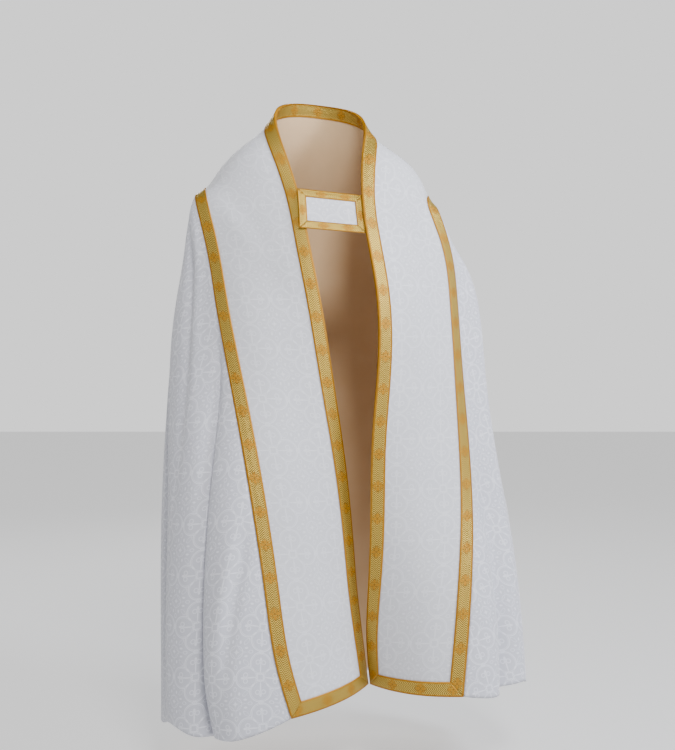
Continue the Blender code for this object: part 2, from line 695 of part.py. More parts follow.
clear_scene()
build_body()
build_orphreys()
build_linings()
build_galloons()
build_back_seam_galloon()
build_neck_facing()
build_hood()
build_hood_galloons()
build_fringe()
build_morse()
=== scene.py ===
"""A lined cope in white figured damask, in the hollow form that it has when worn."""
import math

import bmesh
import bpy
import numpy as np
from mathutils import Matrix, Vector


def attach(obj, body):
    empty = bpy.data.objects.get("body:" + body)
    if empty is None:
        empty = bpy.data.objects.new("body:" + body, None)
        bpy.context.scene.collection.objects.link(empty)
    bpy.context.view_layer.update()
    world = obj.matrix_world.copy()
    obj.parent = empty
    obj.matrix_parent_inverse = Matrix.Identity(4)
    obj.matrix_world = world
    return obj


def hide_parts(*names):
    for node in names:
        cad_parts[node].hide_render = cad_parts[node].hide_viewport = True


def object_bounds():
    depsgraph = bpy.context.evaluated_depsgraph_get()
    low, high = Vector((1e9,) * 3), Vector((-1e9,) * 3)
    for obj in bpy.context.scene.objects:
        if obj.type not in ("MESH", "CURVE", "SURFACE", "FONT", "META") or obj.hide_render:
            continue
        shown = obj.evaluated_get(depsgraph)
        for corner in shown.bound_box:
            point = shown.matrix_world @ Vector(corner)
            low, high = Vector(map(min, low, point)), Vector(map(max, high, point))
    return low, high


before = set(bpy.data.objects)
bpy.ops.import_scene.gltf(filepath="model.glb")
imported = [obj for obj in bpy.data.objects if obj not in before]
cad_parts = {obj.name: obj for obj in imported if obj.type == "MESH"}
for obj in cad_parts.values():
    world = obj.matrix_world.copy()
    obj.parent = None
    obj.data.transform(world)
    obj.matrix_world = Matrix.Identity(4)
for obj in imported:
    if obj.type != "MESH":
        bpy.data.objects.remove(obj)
CAD_LOW, CAD_HIGH = [[float(value) for value in corner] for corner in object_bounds()]


# ---------------------------------------------------------------------------------------------
# Orphreys: the two broad bands of white damask that run up the fronts, over the shoulders and meet
# at the centre back. Each is cut straight, sewn to the body along its seam and turned at the opening.
# One long band is drawn here: edge is the opening, seam the join to the body, bow how far it stands out.
#   station        edge x   edge y  edge z    seam x   seam y  seam z   bow
ORPHREY = [
    ("hem",        0.098, -0.065, -1.182,   -0.064, -0.200, -1.215,  0.025),
    ("shin",       0.083, -0.072, -1.060,   -0.099, -0.210, -1.085,  0.022),
    ("knee",       0.072, -0.085, -0.960,   -0.118, -0.212, -0.955,  0.020),
    ("thigh",      0.062, -0.102, -0.830,   -0.137, -0.208, -0.825,  0.020),
    ("hip",        0.045, -0.125, -0.670,   -0.165, -0.190, -0.665,  0.020),
    ("waist",      0.022, -0.143, -0.510,   -0.199, -0.150, -0.500,  0.018),
    ("ribs",      -0.004, -0.150, -0.345,   -0.231, -0.108, -0.345,  0.014),
    ("chest",     -0.031, -0.140, -0.209,   -0.257, -0.072, -0.215,  0.008),
    ("shoulder",  -0.062, -0.092, -0.080,   -0.286, -0.015, -0.105,  0.016),
    ("slope",     -0.094, -0.045,  0.018,   -0.268,  0.058, -0.109,  0.042),
    ("collar",    -0.108,  0.010,  0.088,   -0.205,  0.130, -0.110,  0.012),
    ("nape",       0.000,  0.090,  0.122,    0.000,  0.200, -0.100, -0.014),
    ("collar",     0.092,  0.010,  0.062,    0.176,  0.132, -0.120,  0.012),
    ("slope",      0.086, -0.045, -0.010,    0.240,  0.062, -0.126,  0.046),
    ("shoulder",   0.083, -0.088, -0.082,    0.252,  0.000, -0.128,  0.016),
    ("chest",      0.090, -0.140, -0.185,    0.279, -0.012, -0.205,  0.010),
    ("ribs",       0.112, -0.178, -0.325,    0.296, -0.025, -0.320,  0.014),
    ("waist",      0.116, -0.183, -0.480,    0.305, -0.045, -0.475,  0.016),
    ("hip",        0.104, -0.168, -0.640,    0.317, -0.065, -0.640,  0.016),
    ("thigh",      0.101, -0.140, -0.800,    0.323, -0.095, -0.800,  0.018),
    ("knee",       0.098, -0.110, -0.950,    0.317, -0.135, -0.935,  0.022),
    ("shin",       0.095, -0.085, -1.070,    0.307, -0.158, -1.055,  0.025),
    ("hem",        0.104, -0.065, -1.182,    0.295, -0.170, -1.179,  0.028),
]
RIGHT_SHOULDER, NAPE, LEFT_SHOULDER = 8, 11, 14
CLOTH_THICKNESS = 0.0018
GALLOON_WIDTH = 0.030


def natural_spline(knots, values, at):
    """Read a natural cubic spline through values (one row per knot) at each place in at."""
    knots = np.asarray(knots, float)
    values = np.asarray(values, float)
    step = np.diff(knots)
    count = len(knots)
    system = np.eye(count)
    right = np.zeros_like(values)
    for i in range(1, count - 1):
        system[i, i - 1] = step[i - 1]
        system[i, i] = 2.0 * (step[i - 1] + step[i])
        system[i, i + 1] = step[i]
        right[i] = 6.0 * ((values[i + 1] - values[i]) / step[i] - (values[i] - values[i - 1]) / step[i - 1])
    bend = np.linalg.solve(system, right)
    at = np.atleast_1d(np.asarray(at, float))
    low = np.clip(np.searchsorted(knots, at) - 1, 0, count - 2)
    width = step[low][:, None]
    near = (knots[low + 1] - at)[:, None] / width
    far = 1.0 - near
    curve = near * values[low] + far * values[low + 1]
    return curve + ((near**3 - near) * bend[low] + (far**3 - far) * bend[low + 1]) * width**2 / 6.0


def lengths_along(points):
    """How far along a line each of its points lies."""
    return np.concatenate([[0.0], np.cumsum(np.linalg.norm(np.diff(points, axis=0), axis=1))])


def unit(vectors):
    return vectors / np.linalg.norm(vectors, axis=-1, keepdims=True)


def smoothstep(value):
    value = np.clip(value, 0.0, 1.0)
    return value * value * (3.0 - 2.0 * value)


TANGENT_STEP = 0.002
BAND_ROWS = np.array([row[1:] for row in ORPHREY])
BAND_KNOTS = lengths_along(0.5 * (BAND_ROWS[:, 0:3] + BAND_ROWS[:, 3:6]))
BAND_LENGTH = BAND_KNOTS[-1]


def band_frame(s):
    """The band's edge, seam and bow at s along it, and the direction in which it bows."""
    spline = natural_spline(BAND_KNOTS, BAND_ROWS, s)
    edge, seam, bow = spline[:, 0:3], spline[:, 3:6], spline[:, 6:7]
    ahead = natural_spline(BAND_KNOTS, BAND_ROWS, np.minimum(s + TANGENT_STEP, BAND_LENGTH))
    behind = natural_spline(BAND_KNOTS, BAND_ROWS, np.maximum(s - TANGENT_STEP, 0.0))
    along = unit(ahead[:, 0:3] + ahead[:, 3:6] - behind[:, 0:3] - behind[:, 3:6])
    return edge, seam, bow, unit(np.cross(along, unit(seam - edge)))


def band_width(s):
    """The cloth's width at s: its chord, lengthened by its bow."""
    edge, seam, bow, _ = band_frame(s)
    chord = np.linalg.norm(seam - edge, axis=1)
    return chord + 8.0 * bow[:, 0] ** 2 / (3.0 * chord)


# Soft undulations of the orphreys: where along (from the hem, as a share), where across (from the
# edge), half lengths along and across in metres, slant, and height.
#    side      along   across   long    wide    slant   height
BAND_UNDULATIONS = [
    ("right",  0.90,   0.62,   0.060,  0.022,   0.50,   0.0035),
    ("right",  0.84,   0.45,   0.090,  0.026,   0.35,  -0.0030),
    ("right",  0.70,   0.66,   0.120,  0.030,   0.12,   0.0025),
    ("right",  0.52,   0.40,   0.150,  0.035,  -0.05,  -0.0030),
    ("right",  0.38,   0.62,   0.140,  0.034,   0.05,   0.0030),
    ("right",  0.18,   0.35,   0.130,  0.036,  -0.06,   0.0030),
    ("left",   0.90,   0.52,   0.060,  0.022,  -0.45,   0.0035),
    ("left",   0.82,   0.70,   0.080,  0.024,  -0.30,  -0.0030),
    ("left",   0.66,   0.48,   0.130,  0.026,  -0.10,   0.0030),
    ("left",   0.50,   0.66,   0.150,  0.030,   0.04,  -0.0035),
    ("left",   0.40,   0.34,   0.160,  0.030,   0.04,   0.0025),
    ("left",   0.20,   0.58,   0.160,  0.034,  -0.04,   0.0030),
]


def band_points(s, d):
    """Points at s along the band (rows) and d metres in from the opening's edge (same shape)."""
    flat = s.reshape(-1)
    edge, seam, bow, out = band_frame(flat)
    width = band_width(flat)
    t = np.clip(d.reshape(-1) / width, 0.0, 1.0)[:, None]
    points = edge * (1.0 - t) + seam * t + 4.0 * t * (1.0 - t) * bow * out
    rise = np.zeros(len(flat))
    for side, along, across, length, wide, slant, height in BAND_UNDULATIONS:
        end = BAND_KNOTS[RIGHT_SHOULDER] if side == "right" else BAND_LENGTH - BAND_KNOTS[LEFT_SHOULDER]
        from_hem = flat if side == "right" else BAND_LENGTH - flat
        run = from_hem - along * end
        over = d.reshape(-1) - across * width - slant * run
        rise += height * np.exp(-0.5 * (run / length) ** 2 - 0.5 * (over / wide) ** 2)
    rise *= smoothstep(np.minimum(t[:, 0], 1.0 - t[:, 0]) / 0.25)
    points = points + rise[:, None] * out
    return points.reshape(s.shape + (3,))


def outward_normals(points):
    """Normals of a grid, turned so that most of them point away from the cope's middle line."""
    normals = np.cross(np.gradient(points, axis=1), np.gradient(points, axis=0))
    normals = normals / np.maximum(np.linalg.norm(normals, axis=-1, keepdims=True), 1e-12)
    away = points - np.array([0.03, 0.02, 0.0])
    away[..., 2] = 0.0
    return -normals if np.sum(normals * away) < 0.0 else normals


def cloth_mesh(name, points, lengths, normals, thickness=None):
    """A sheet of quads through a grid of points, facing along normals.

    lengths is the cloth's own measure along and across, in metres, and becomes its UV map.
    """
    rows, columns = points.shape[:2]
    build = bmesh.new()
    bmesh.ops.create_grid(build, x_segments=columns - 1, y_segments=rows - 1, size=1.0)
    mesh = bpy.data.meshes.new(name)
    build.to_mesh(mesh)
    build.free()
    spots = np.empty(len(mesh.vertices) * 3)
    mesh.vertices.foreach_get("co", spots)
    spots = spots.reshape(-1, 3)
    column = np.rint((spots[:, 0] + 1.0) * 0.5 * (columns - 1)).astype(int)
    row = np.rint((spots[:, 1] + 1.0) * 0.5 * (rows - 1)).astype(int)
    mesh.vertices.foreach_set("co", points[row, column].reshape(-1))
    corners = np.empty(len(mesh.loops), dtype=np.int32)
    mesh.loops.foreach_get("vertex_index", corners)
    layer = mesh.uv_layers.new(name="cloth_metres")
    layer.data.foreach_set("uv", lengths[row, column][corners].astype(np.float32).reshape(-1))
    mesh.update()
    facing = np.empty(len(mesh.polygons) * 3)
    mesh.polygons.foreach_get("normal", facing)
    first = np.array([face.vertices[0] for face in mesh.polygons])
    wanted = normals[row, column][first]
    if np.sum(facing.reshape(-1, 3) * wanted) < 0.0:
        mesh.flip_normals()
    mesh.shade_smooth()
    piece = bpy.data.objects.new(name, mesh)
    bpy.context.scene.collection.objects.link(piece)
    if thickness:
        solid = piece.modifiers.new("cloth thickness", "SOLIDIFY")
        solid.thickness = thickness
        solid.offset = -1.0
    return piece


def colour(hex_value):
    """A linear colour from the usual six-digit one."""
    parts = [int(hex_value[i:i + 2], 16) / 255.0 for i in (0, 2, 4)]
    return tuple(p / 12.92 if p <= 0.04045 else ((p + 0.055) / 1.055) ** 2.4 for p in parts) + (1.0,)


def add_node(tree, kind, inputs=None, **settings):
    """Add a shader node and fill its inputs with plain values or with other nodes' sockets."""
    made = tree.nodes.new(kind)
    for setting, value in settings.items():
        setattr(made, setting, value)
    for place, value in (inputs or {}).items():
        if isinstance(value, bpy.types.NodeSocket):
            tree.links.new(value, made.inputs[place])
        else:
            made.inputs[place].default_value = value
    return made


def calc(tree, operation, first, second=0.0, third=0.0):
    """A maths node's result."""
    return add_node(tree, "ShaderNodeMath", {0: first, 1: second, 2: third}, operation=operation).outputs[0]


def from_point(tree, first, second, x, y, x_scale=1.0, y_scale=1.0):
    """Distance of (first, second) from (x, y), with each direction scaled."""
    spot = add_node(tree, "ShaderNodeCombineXYZ", {0: first, 1: second})
    moved = add_node(tree, "ShaderNodeVectorMath", {0: spot.outputs[0], 1: (x, y, 0.0)}, operation="SUBTRACT")
    sized = add_node(tree, "ShaderNodeVectorMath", {0: moved.outputs[0], 1: (x_scale, y_scale, 0.0)},
                     operation="MULTIPLY")
    return add_node(tree, "ShaderNodeVectorMath", {0: sized.outputs[0]}, operation="LENGTH").outputs["Value"]


def filled(tree, distance, reach, soft=0.5):
    """1 where distance is below reach, with a soft edge."""
    return add_node(tree, "ShaderNodeMapRange",
                    {0: distance, 1: reach + soft, 2: reach - soft, 3: 0.0, 4: 1.0},
                    interpolation_type="SMOOTHSTEP").outputs[0]


def line(tree, distance, place, half, soft=0.5):
    """1 where distance is within half of place."""
    return filled(tree, calc(tree, "ABSOLUTE", calc(tree, "SUBTRACT", distance, place)), half, soft)


def both(tree, *masks):
    """1 where every mask is 1."""
    total = masks[0]
    for mask in masks[1:]:
        total = calc(tree, "MULTIPLY", total, mask)
    return total


def either(tree, *masks):
    """1 where any mask is 1."""
    total = masks[0]
    for mask in masks[1:]:
        total = calc(tree, "MAXIMUM", total, mask)
    return total


def blended(tree, factor, first, second):
    """Mix two colours."""
    mixed = add_node(tree, "ShaderNodeMix", {"Factor": factor, 6: first, 7: second}, data_type="RGBA")
    return mixed.outputs[2]


def cloth_millimetres(tree):
    """The cloth's own measure along and across, in millimetres."""
    measure = add_node(tree, "ShaderNodeUVMap", uv_map="cloth_metres")
    big = add_node(tree, "ShaderNodeVectorMath", {0: measure.outputs[0], 3: 1000.0}, operation="SCALE")
    split = add_node(tree, "ShaderNodeSeparateXYZ", {0: big.outputs[0]})
    return split.outputs[0], split.outputs[1]


REPEAT_MM = 108.0


def damask_figure(tree, u, v):
    """The woven figure: crosses fleury in double quatrefoils, with stars between them."""
    half = 0.5 * REPEAT_MM
    ax = calc(tree, "PINGPONG", u, half)
    ay = calc(tree, "PINGPONG", v, half)
    hi, lo = calc(tree, "MAXIMUM", ax, ay), calc(tree, "MINIMUM", ax, ay)
    bx, by = calc(tree, "SUBTRACT", half, ax), calc(tree, "SUBTRACT", half, ay)
    far_hi, far_lo = calc(tree, "MAXIMUM", bx, by), calc(tree, "MINIMUM", bx, by)
    diamond = calc(tree, "ADD", calc(tree, "POWER", hi, 1.25), calc(tree, "POWER", lo, 1.25))
    rose_heart = line(tree, diamond, 17.0, 1.9, 0.9)
    cross = either(tree, filled(tree, from_point(tree, hi, lo, 22.0, 0.0, 1.0, 8.0), 12.0, 1.2),
                   filled(tree, from_point(tree, hi, lo, 38.0, 0.0, 1.0, 1.5), 4.0),
                   line(tree, from_point(tree, hi, lo, 32.0, 6.4), 4.4, 0.9, 0.6))
    lobe = from_point(tree, hi, lo, 29.5, 0.0)
    quatrefoil = either(tree, line(tree, lobe, 23.2, 0.95), line(tree, lobe, 20.4, 0.45))
    joint = line(tree, from_point(tree, hi, lo, 54.0, 0.0, 1.0, 0.8), 3.6, 0.8)
    slant = calc(tree, "MULTIPLY", calc(tree, "ADD", hi, lo), 0.70711)
    aside = calc(tree, "MULTIPLY", calc(tree, "SUBTRACT", hi, lo), 0.70711)
    arm_leaf = line(tree, from_point(tree, slant, aside, 45.5, 0.0, 1.0, 2.2), 7.6, 0.8)
    inner_leaf = filled(tree, from_point(tree, slant, aside, 23.5, 0.0, 1.0, 2.4), 5.0)
    star = calc(tree, "ADD", calc(tree, "SQRT", far_hi), calc(tree, "SQRT", far_lo))
    star_lines = either(tree, line(tree, star, 5.15, 0.14, 0.08), filled(tree, star, 2.9, 0.15))
    ring = line(tree, from_point(tree, far_hi, far_lo, 0.0, 0.0), 13.5, 0.6)
    bud = line(tree, from_point(tree, far_hi, far_lo, 31.0, 0.0, 1.0, 1.4), 4.4, 0.8)
    side_leaf = filled(tree, from_point(tree, far_hi, far_lo, 21.0, 8.5, 1.3, 2.2), 4.8)
    return either(tree, rose_heart, cross, quatrefoil, joint, arm_leaf, inner_leaf, star_lines, ring, bud,
                  side_leaf)


def damask(name, dull, figure_painted_sheen, shift_u=0.0, shift_v=0.0):
    """White damask: a satin figure that shines on a dull twill ground. The cloth is all one white, but the
    figure's colour is painted lighter than the ground: a painted sheen.
    """
    material = bpy.data.materials.new(name)
    material.use_nodes = True
    tree = material.node_tree
    shader = tree.nodes["Principled BSDF"]
    u, v = cloth_millimetres(tree)
    place = add_node(tree, "ShaderNodeTexCoord").outputs["Object"]
    figure = damask_figure(tree, calc(tree, "ADD", u, shift_u), calc(tree, "ADD", v, shift_v))
    waver = add_node(tree, "ShaderNodeTexNoise", {"Vector": place, "Scale": 9.0, "Detail": 3.0}).outputs[0]
    ground = blended(tree, waver, colour(dull[0]), colour(dull[1]))
    # The figure's colour is painted lighter than the ground's: a painted sheen.
    satin_painted_sheen = blended(tree, waver, colour(figure_painted_sheen[0]), colour(figure_painted_sheen[1]))
    tree.links.new(blended(tree, figure, ground, satin_painted_sheen), shader.inputs["Base Color"])
    rough = add_node(tree, "ShaderNodeMapRange", {0: figure, 1: 0.0, 2: 1.0, 3: 0.80, 4: 0.47})
    tree.links.new(rough.outputs[0], shader.inputs["Roughness"])
    shader.inputs["Sheen Weight"].default_value = 0.35
    shader.inputs["Sheen Roughness"].default_value = 0.45
    shader.inputs["Specular IOR Level"].default_value = 0.42
    twill = calc(tree, "SINE", calc(tree, "MULTIPLY", calc(tree, "ADD", u, v), 2.0 * math.pi / 0.9))
    floats = calc(tree, "SINE", calc(tree, "MULTIPLY", u, 2.0 * math.pi / 0.6))
    weave = add_node(tree, "ShaderNodeMix", {0: figure, 2: twill, 3: floats}, data_type="FLOAT").outputs[0]
    rumple = add_node(tree, "ShaderNodeTexNoise", {"Vector": place, "Scale": 26.0, "Detail": 4.0,
                                                   "Roughness": 0.55}).outputs[0]
    height = calc(tree, "MULTIPLY", weave, 0.00003)
    height = calc(tree, "MULTIPLY_ADD", figure, 0.00011, height)
    height = calc(tree, "MULTIPLY_ADD", rumple, 0.0011, height)
    bump = add_node(tree, "ShaderNodeBump", {"Strength": 0.75, "Distance": 1.0, "Height": height})
    tree.links.new(bump.outputs[0], shader.inputs["Normal"])
    return material


def finish_piece(piece, material, slot, *nodes):
    """Give a piece its finish, let it ride with the cope, and put it in place of its solids."""
    piece.data.materials.append(material)
    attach(piece, "root")
    if nodes:
        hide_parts(*nodes)


# Ground colours, then figure colours painted lighter: a painted sheen.
ORPHREY_DAMASK = damask("white damask of the orphreys", ("c0c1c7", "c8c9cf"), ("cecfd5", "d7d8dd"), 54.0, 0.0)
NAPE_S = BAND_KNOTS[NAPE]
HALF_SEAM = 0.00025
EDGE_DRAWN_IN = 0.0016
SEAM_GAP = 0.0003
ORPHREY_ROWS, ORPHREY_COLUMNS = 330, 44


def orphrey(name, start, end, node):
    """One orphrey, between two places along the band."""
    s = np.linspace(start, end, ORPHREY_ROWS)[:, None] * np.ones((1, ORPHREY_COLUMNS))
    width = band_width(s[:, 0])[:, None]
    share = np.linspace(0.0, 1.0, ORPHREY_COLUMNS)[None, :]
    d = EDGE_DRAWN_IN + share * (width - EDGE_DRAWN_IN - SEAM_GAP)
    points = band_points(s, d)
    from_hem = s if start < 0.5 * BAND_LENGTH and end <= NAPE_S else BAND_LENGTH - s
    measure = np.stack([d, from_hem], axis=-1)
    piece = cloth_mesh(name, points, measure, outward_normals(points), CLOTH_THICKNESS)
    finish_piece(piece, ORPHREY_DAMASK, "damask", node)
    return piece


orphrey_right = orphrey("right_orphrey", 0.0, NAPE_S - HALF_SEAM, "orphrey_right")
orphrey_left = orphrey("left_orphrey", NAPE_S + HALF_SEAM, BAND_LENGTH, "orphrey_left")


# ---------------------------------------------------------------------------------------------
# Galloons of the orphreys: a woven braid of gold thread 30 mm wide with orange-gold borders, sewn
# on by machine along both edges. It is mitred where the strips meet at the corners of the hem.
GALLOON_STANDS = 0.0021
GALLOON_THICKNESS = 0.0010
GALLOON_CROWN = 0.0003


def galloon(name, flower_step=69.0):
    """Gold braid: borders of orange-gold silk, a zigzag gold-thread ground, and a small cross flower. The
    zigzag is woven, but its light and dark bands are a painted highlight and painted shade, and a dark line
    near each border's outer edge is painted shade.
    """
    material = bpy.data.materials.new(name)
    material.use_nodes = True
    tree = material.node_tree
    shader = tree.nodes["Principled BSDF"]
    across, along = cloth_millimetres(tree)
    middle = calc(tree, "ABSOLUTE", calc(tree, "SUBTRACT", across, 15.0))
    scallop = calc(tree, "MULTIPLY", calc(tree, "PINGPONG", along, 1.7), 0.75)
    border = filled(tree, calc(tree, "SUBTRACT", calc(tree, "SUBTRACT", 15.0, middle), scallop), 3.4, 0.3)
    # A dark line near the outer edge of each border: painted shade.
    painted_edge_shade = line(tree, middle, 12.6, 0.35, 0.2)
    step = calc(tree, "ADD", along, calc(tree, "PINGPONG", across, 7.5))
    # The woven zigzag floats of the ground; their colour below is a painted highlight against painted shade.
    zigzag_painted_highlight = filled(tree, calc(tree, "PINGPONG", step, 2.2), 1.2, 0.3)
    run = calc(tree, "PINGPONG", along, 0.5 * flower_step)
    hi, lo = calc(tree, "MAXIMUM", run, middle), calc(tree, "MINIMUM", run, middle)
    lace = calc(tree, "MAXIMUM", calc(tree, "PINGPONG", along, 2.1), calc(tree, "PINGPONG", across, 2.1))
    flower = either(
        tree,
        filled(tree, from_point(tree, hi, lo, 6.4, 0.0, 1.0, 1.5), 4.4, 0.5),
        filled(tree, from_point(tree, hi, lo, 6.0, 6.0), 2.0, 0.5),
        filled(tree, from_point(tree, hi, lo, 0.0, 0.0), 2.2, 0.4),
        both(tree, filled(tree, from_point(tree, run, middle, 0.0, 0.0, 0.85, 1.0), 12.0, 0.6),
             filled(tree, lace, 1.05, 0.25)))
    outline = both(tree, line(tree, from_point(tree, hi, lo, 6.4, 0.0, 1.0, 1.4), 5.6, 0.5, 0.3),
                   calc(tree, "SUBTRACT", 1.0, border))
    gold_silk = either(tree, border, flower)
    place = add_node(tree, "ShaderNodeTexCoord").outputs["Object"]
    wear = add_node(tree, "ShaderNodeTexNoise", {"Vector": place, "Scale": 60.0, "Detail": 3.0}).outputs[0]
    # Light zigzag floats on a dark ground: painted highlight and painted shade on the woven zigzag.
    gold_thread_painted_light_shade = blended(tree, zigzag_painted_highlight, colour("463306"), colour("d4b14a"))
    silk = blended(tree, wear, colour("a06c00"), colour("ba8200"))
    # The silk is darkened along that line: painted shade.
    silk = blended(tree, painted_edge_shade, silk, colour("6e4c00"))
    woven = blended(tree, gold_silk, gold_thread_painted_light_shade, silk)
    tree.links.new(blended(tree, outline, woven, colour("6a4c06")), shader.inputs["Base Color"])
    shine = add_node(tree, "ShaderNodeMapRange", {0: gold_silk, 1: 0.0, 2: 1.0, 3: 0.46, 4: 0.52})
    tree.links.new(shine.outputs[0], shader.inputs["Roughness"])
    metalness = add_node(tree, "ShaderNodeMapRange", {0: gold_silk, 1: 0.0, 2: 1.0, 3: 0.60, 4: 0.45})
    tree.links.new(metalness.outputs[0], shader.inputs["Metallic"])
    ribs = calc(tree, "SINE", calc(tree, "MULTIPLY", along, 2.0 * math.pi / 0.8))
    height = calc(tree, "MULTIPLY", ribs, 0.00004)
    height = calc(tree, "MULTIPLY_ADD", zigzag_painted_highlight, 0.00015, height)
    height = calc(tree, "MULTIPLY_ADD", gold_silk, 0.00020, height)
    bump = add_node(tree, "ShaderNodeBump", {"Strength": 0.8, "Distance": 1.0, "Height": height})
    tree.links.new(bump.outputs[0], shader.inputs["Normal"])
    return material


GALLOON_BRAID = galloon("gold galloon")



# Depths below the cloth's face at which the galloon turned over the edge is drawn.
EDGE_TURN = (0.0046, 0.0030, 0.0012, -0.0008)
EDGE_STEPS, HEM_STEPS = 520, 60


def braid(name, points, across, along, node, material=None, stands=GALLOON_STANDS, turned=False):
    """A strip of galloon lying on a grid of the cloth's points, turned over its first edge if asked."""
    normals = outward_normals(points)
    crown = GALLOON_CROWN * (1.0 - (2.0 * across / GALLOON_WIDTH - 1.0) ** 2)
    raised = points + (stands + crown)[..., None] * normals
    if turned:
        under = [points[:, :1] - depth * normals[:, :1] for depth in EDGE_TURN]
        raised = np.concatenate(under + [raised], axis=1)
        across = np.concatenate([across[:, :1] - stands - depth for depth in EDGE_TURN] + [across], axis=1)
        along = np.concatenate([along[:, :1]] * len(EDGE_TURN) + [along], axis=1)
        normals = np.concatenate([normals[:, :1]] * len(EDGE_TURN) + [normals], axis=1)
    piece = cloth_mesh(name, raised, np.stack([across, along], axis=-1), normals, GALLOON_THICKNESS)
    finish_piece(piece, material or GALLOON_BRAID, "galloon", node)
    return piece


STEPS_ACROSS = np.linspace(0.0, 1.0, 9)
inward = GALLOON_WIDTH * STEPS_ACROSS[None, :]
lengthwise = np.linspace(0.0, 1.0, EDGE_STEPS)[:, None]
edge_s = inward + lengthwise * (BAND_LENGTH - 2.0 * inward)
galloon_edge = braid("edge_galloon", band_points(edge_s, inward * np.ones_like(edge_s)),
                     inward * np.ones_like(edge_s), edge_s, "galloon_edge", turned=True)
seam_d = band_width(edge_s.reshape(-1)).reshape(edge_s.shape) - inward
galloon_seam = braid("seam_galloon", band_points(edge_s, seam_d), inward * np.ones_like(edge_s), edge_s,
                     "galloon_seam")
for side, hem in (("right", 0.0), ("left", BAND_LENGTH)):
    crosswise = np.linspace(0.0, 1.0, HEM_STEPS)[:, None]
    up = GALLOON_WIDTH * STEPS_ACROSS[None, :] * np.ones((HEM_STEPS, 1))
    s = np.abs(hem - up)
    hem_width = band_width(s.reshape(-1)).reshape(s.shape)
    d = up + crosswise * (hem_width - 2.0 * up)
    braid(side + "_hem_galloon", band_points(s, d), up, d, "galloon_hem_" + side)


# ---------------------------------------------------------------------------------------------
# Body: white damask cut as a half circle in two quarters, sewn at the centre back and to the
# orphreys' seams. It hangs in soft tubes from the shoulders and arms down to a bagged-out hem.
#    down    right x      y       z     back y     back z    left x      y       z
SECTIONS = [
    (0.00,  -0.286,  -0.015, -0.105,    0.200,   -0.100,    0.252,   0.000, -0.128),
    (0.08,  -0.313,   0.030, -0.195,    0.214,   -0.195,    0.284,   0.030, -0.195),
    (0.13,  -0.324,   0.040, -0.250,    0.219,   -0.250,    0.320,   0.040, -0.250),
    (0.20,  -0.336,   0.045, -0.325,    0.223,   -0.330,    0.350,   0.045, -0.330),
    (0.35,  -0.352,   0.050, -0.495,    0.230,   -0.500,    0.367,   0.045, -0.495),
    (0.50,  -0.359,   0.050, -0.670,    0.240,   -0.670,    0.386,   0.045, -0.655),
    (0.65,  -0.363,   0.050, -0.850,    0.250,   -0.840,    0.414,   0.050, -0.810),
    (0.80,  -0.366,   0.050, -1.028,    0.260,   -1.010,    0.434,   0.050, -0.975),
    (1.00,  -0.370,   0.050, -1.277,    0.275,   -1.250,    0.454,   0.050, -1.197),
]
SECTION_SQUARENESS = 2.35
HEM_SWEEP = 0.8
HANDLE_SHARE = 0.42
SETTLE_SHARE = 0.30
SECTION_STEPS = 480

# Main folds: at is the place from the front seam (0) to the centre back (1), drift its move by the
# hem, depth out (+) or in (-) there, half its half width, down where it starts.
#    side      at      drift   depth    half    down
FOLDS = [
    ("right", 0.022,   0.172, -0.052,   0.022,  0.20),
    ("right", 0.020,   0.110,  0.010,   0.040,  0.30),
    ("right", 0.180,   0.120,  0.010,   0.034,  0.30),
    ("right", 0.600,   0.020, -0.042,   0.026,  0.35),
    ("right", 0.800,   0.000,  0.010,   0.060,  0.30),
    ("left",  0.045,   0.092, -0.042,   0.022,  0.40),
    ("left",  0.180,   0.030,  0.008,   0.036,  0.30),
    ("left",  0.520,   0.020, -0.042,   0.026,  0.35),
    ("left",  0.850,   0.000,  0.014,   0.060,  0.25),
]

# Where the hem hangs higher than its section says: at is the place, half the half width there.
#    side      at      half     lift
HEM_LIFTS = [
    ("right", 0.310,   0.045,   0.026),
    ("left",  0.200,   0.045,   0.022),
]

# Lesser creases: at, drift, height, half width, and the share down where each starts, is full and ends.
#    side      at      drift   height   half    start  full   end
CREASES = [
    ("right", 0.055,   0.280, -0.0120,  0.011,  0.02,  0.16,  0.72),
    ("right", 0.020,   0.300,  0.0060,  0.014,  0.02,  0.14,  0.66),
    ("right", -0.076,  0.278, -0.0120,  0.008,  0.20,  0.38,  0.78),
    ("right", -0.285,  0.450, -0.0080,  0.012,  0.60,  0.78,  1.00),
    ("right", -0.250,  0.450,  0.0060,  0.013,  0.62,  0.84,  1.10),
    ("right", 0.310,   0.030, -0.0140,  0.011,  0.20,  0.60,  1.10),
    ("right", 0.400,   0.010,  0.0060,  0.022,  0.20,  0.60,  1.10),
    ("right", 0.470,   0.020, -0.0080,  0.024,  0.15,  0.45,  1.05),
    ("right", 0.530,   0.010,  0.0060,  0.030,  0.20,  0.60,  1.10),
    ("right", 0.700,   0.010,  0.0060,  0.034,  0.25,  0.60,  1.10),
    ("left",  0.020,   0.010, -0.0060,  0.008,  0.10,  0.34,  0.80),
    ("left",  0.110,   0.060,  0.0070,  0.016,  0.06,  0.34,  0.95),
    ("left",  0.200,   0.010, -0.0080,  0.014,  0.10,  0.30,  0.80),
    ("left",  0.290,   0.010,  0.0060,  0.024,  0.25,  0.60,  1.10),
    ("left",  0.370,   0.010, -0.0080,  0.026,  0.15,  0.50,  1.05),
    ("left",  0.450,   0.010,  0.0060,  0.026,  0.20,  0.60,  1.10),
    ("left",  0.640,   0.010,  0.0060,  0.036,  0.25,  0.60,  1.10),
    ("left",  0.740,   0.000, -0.0050,  0.034,  0.30,  0.60,  1.10),
]

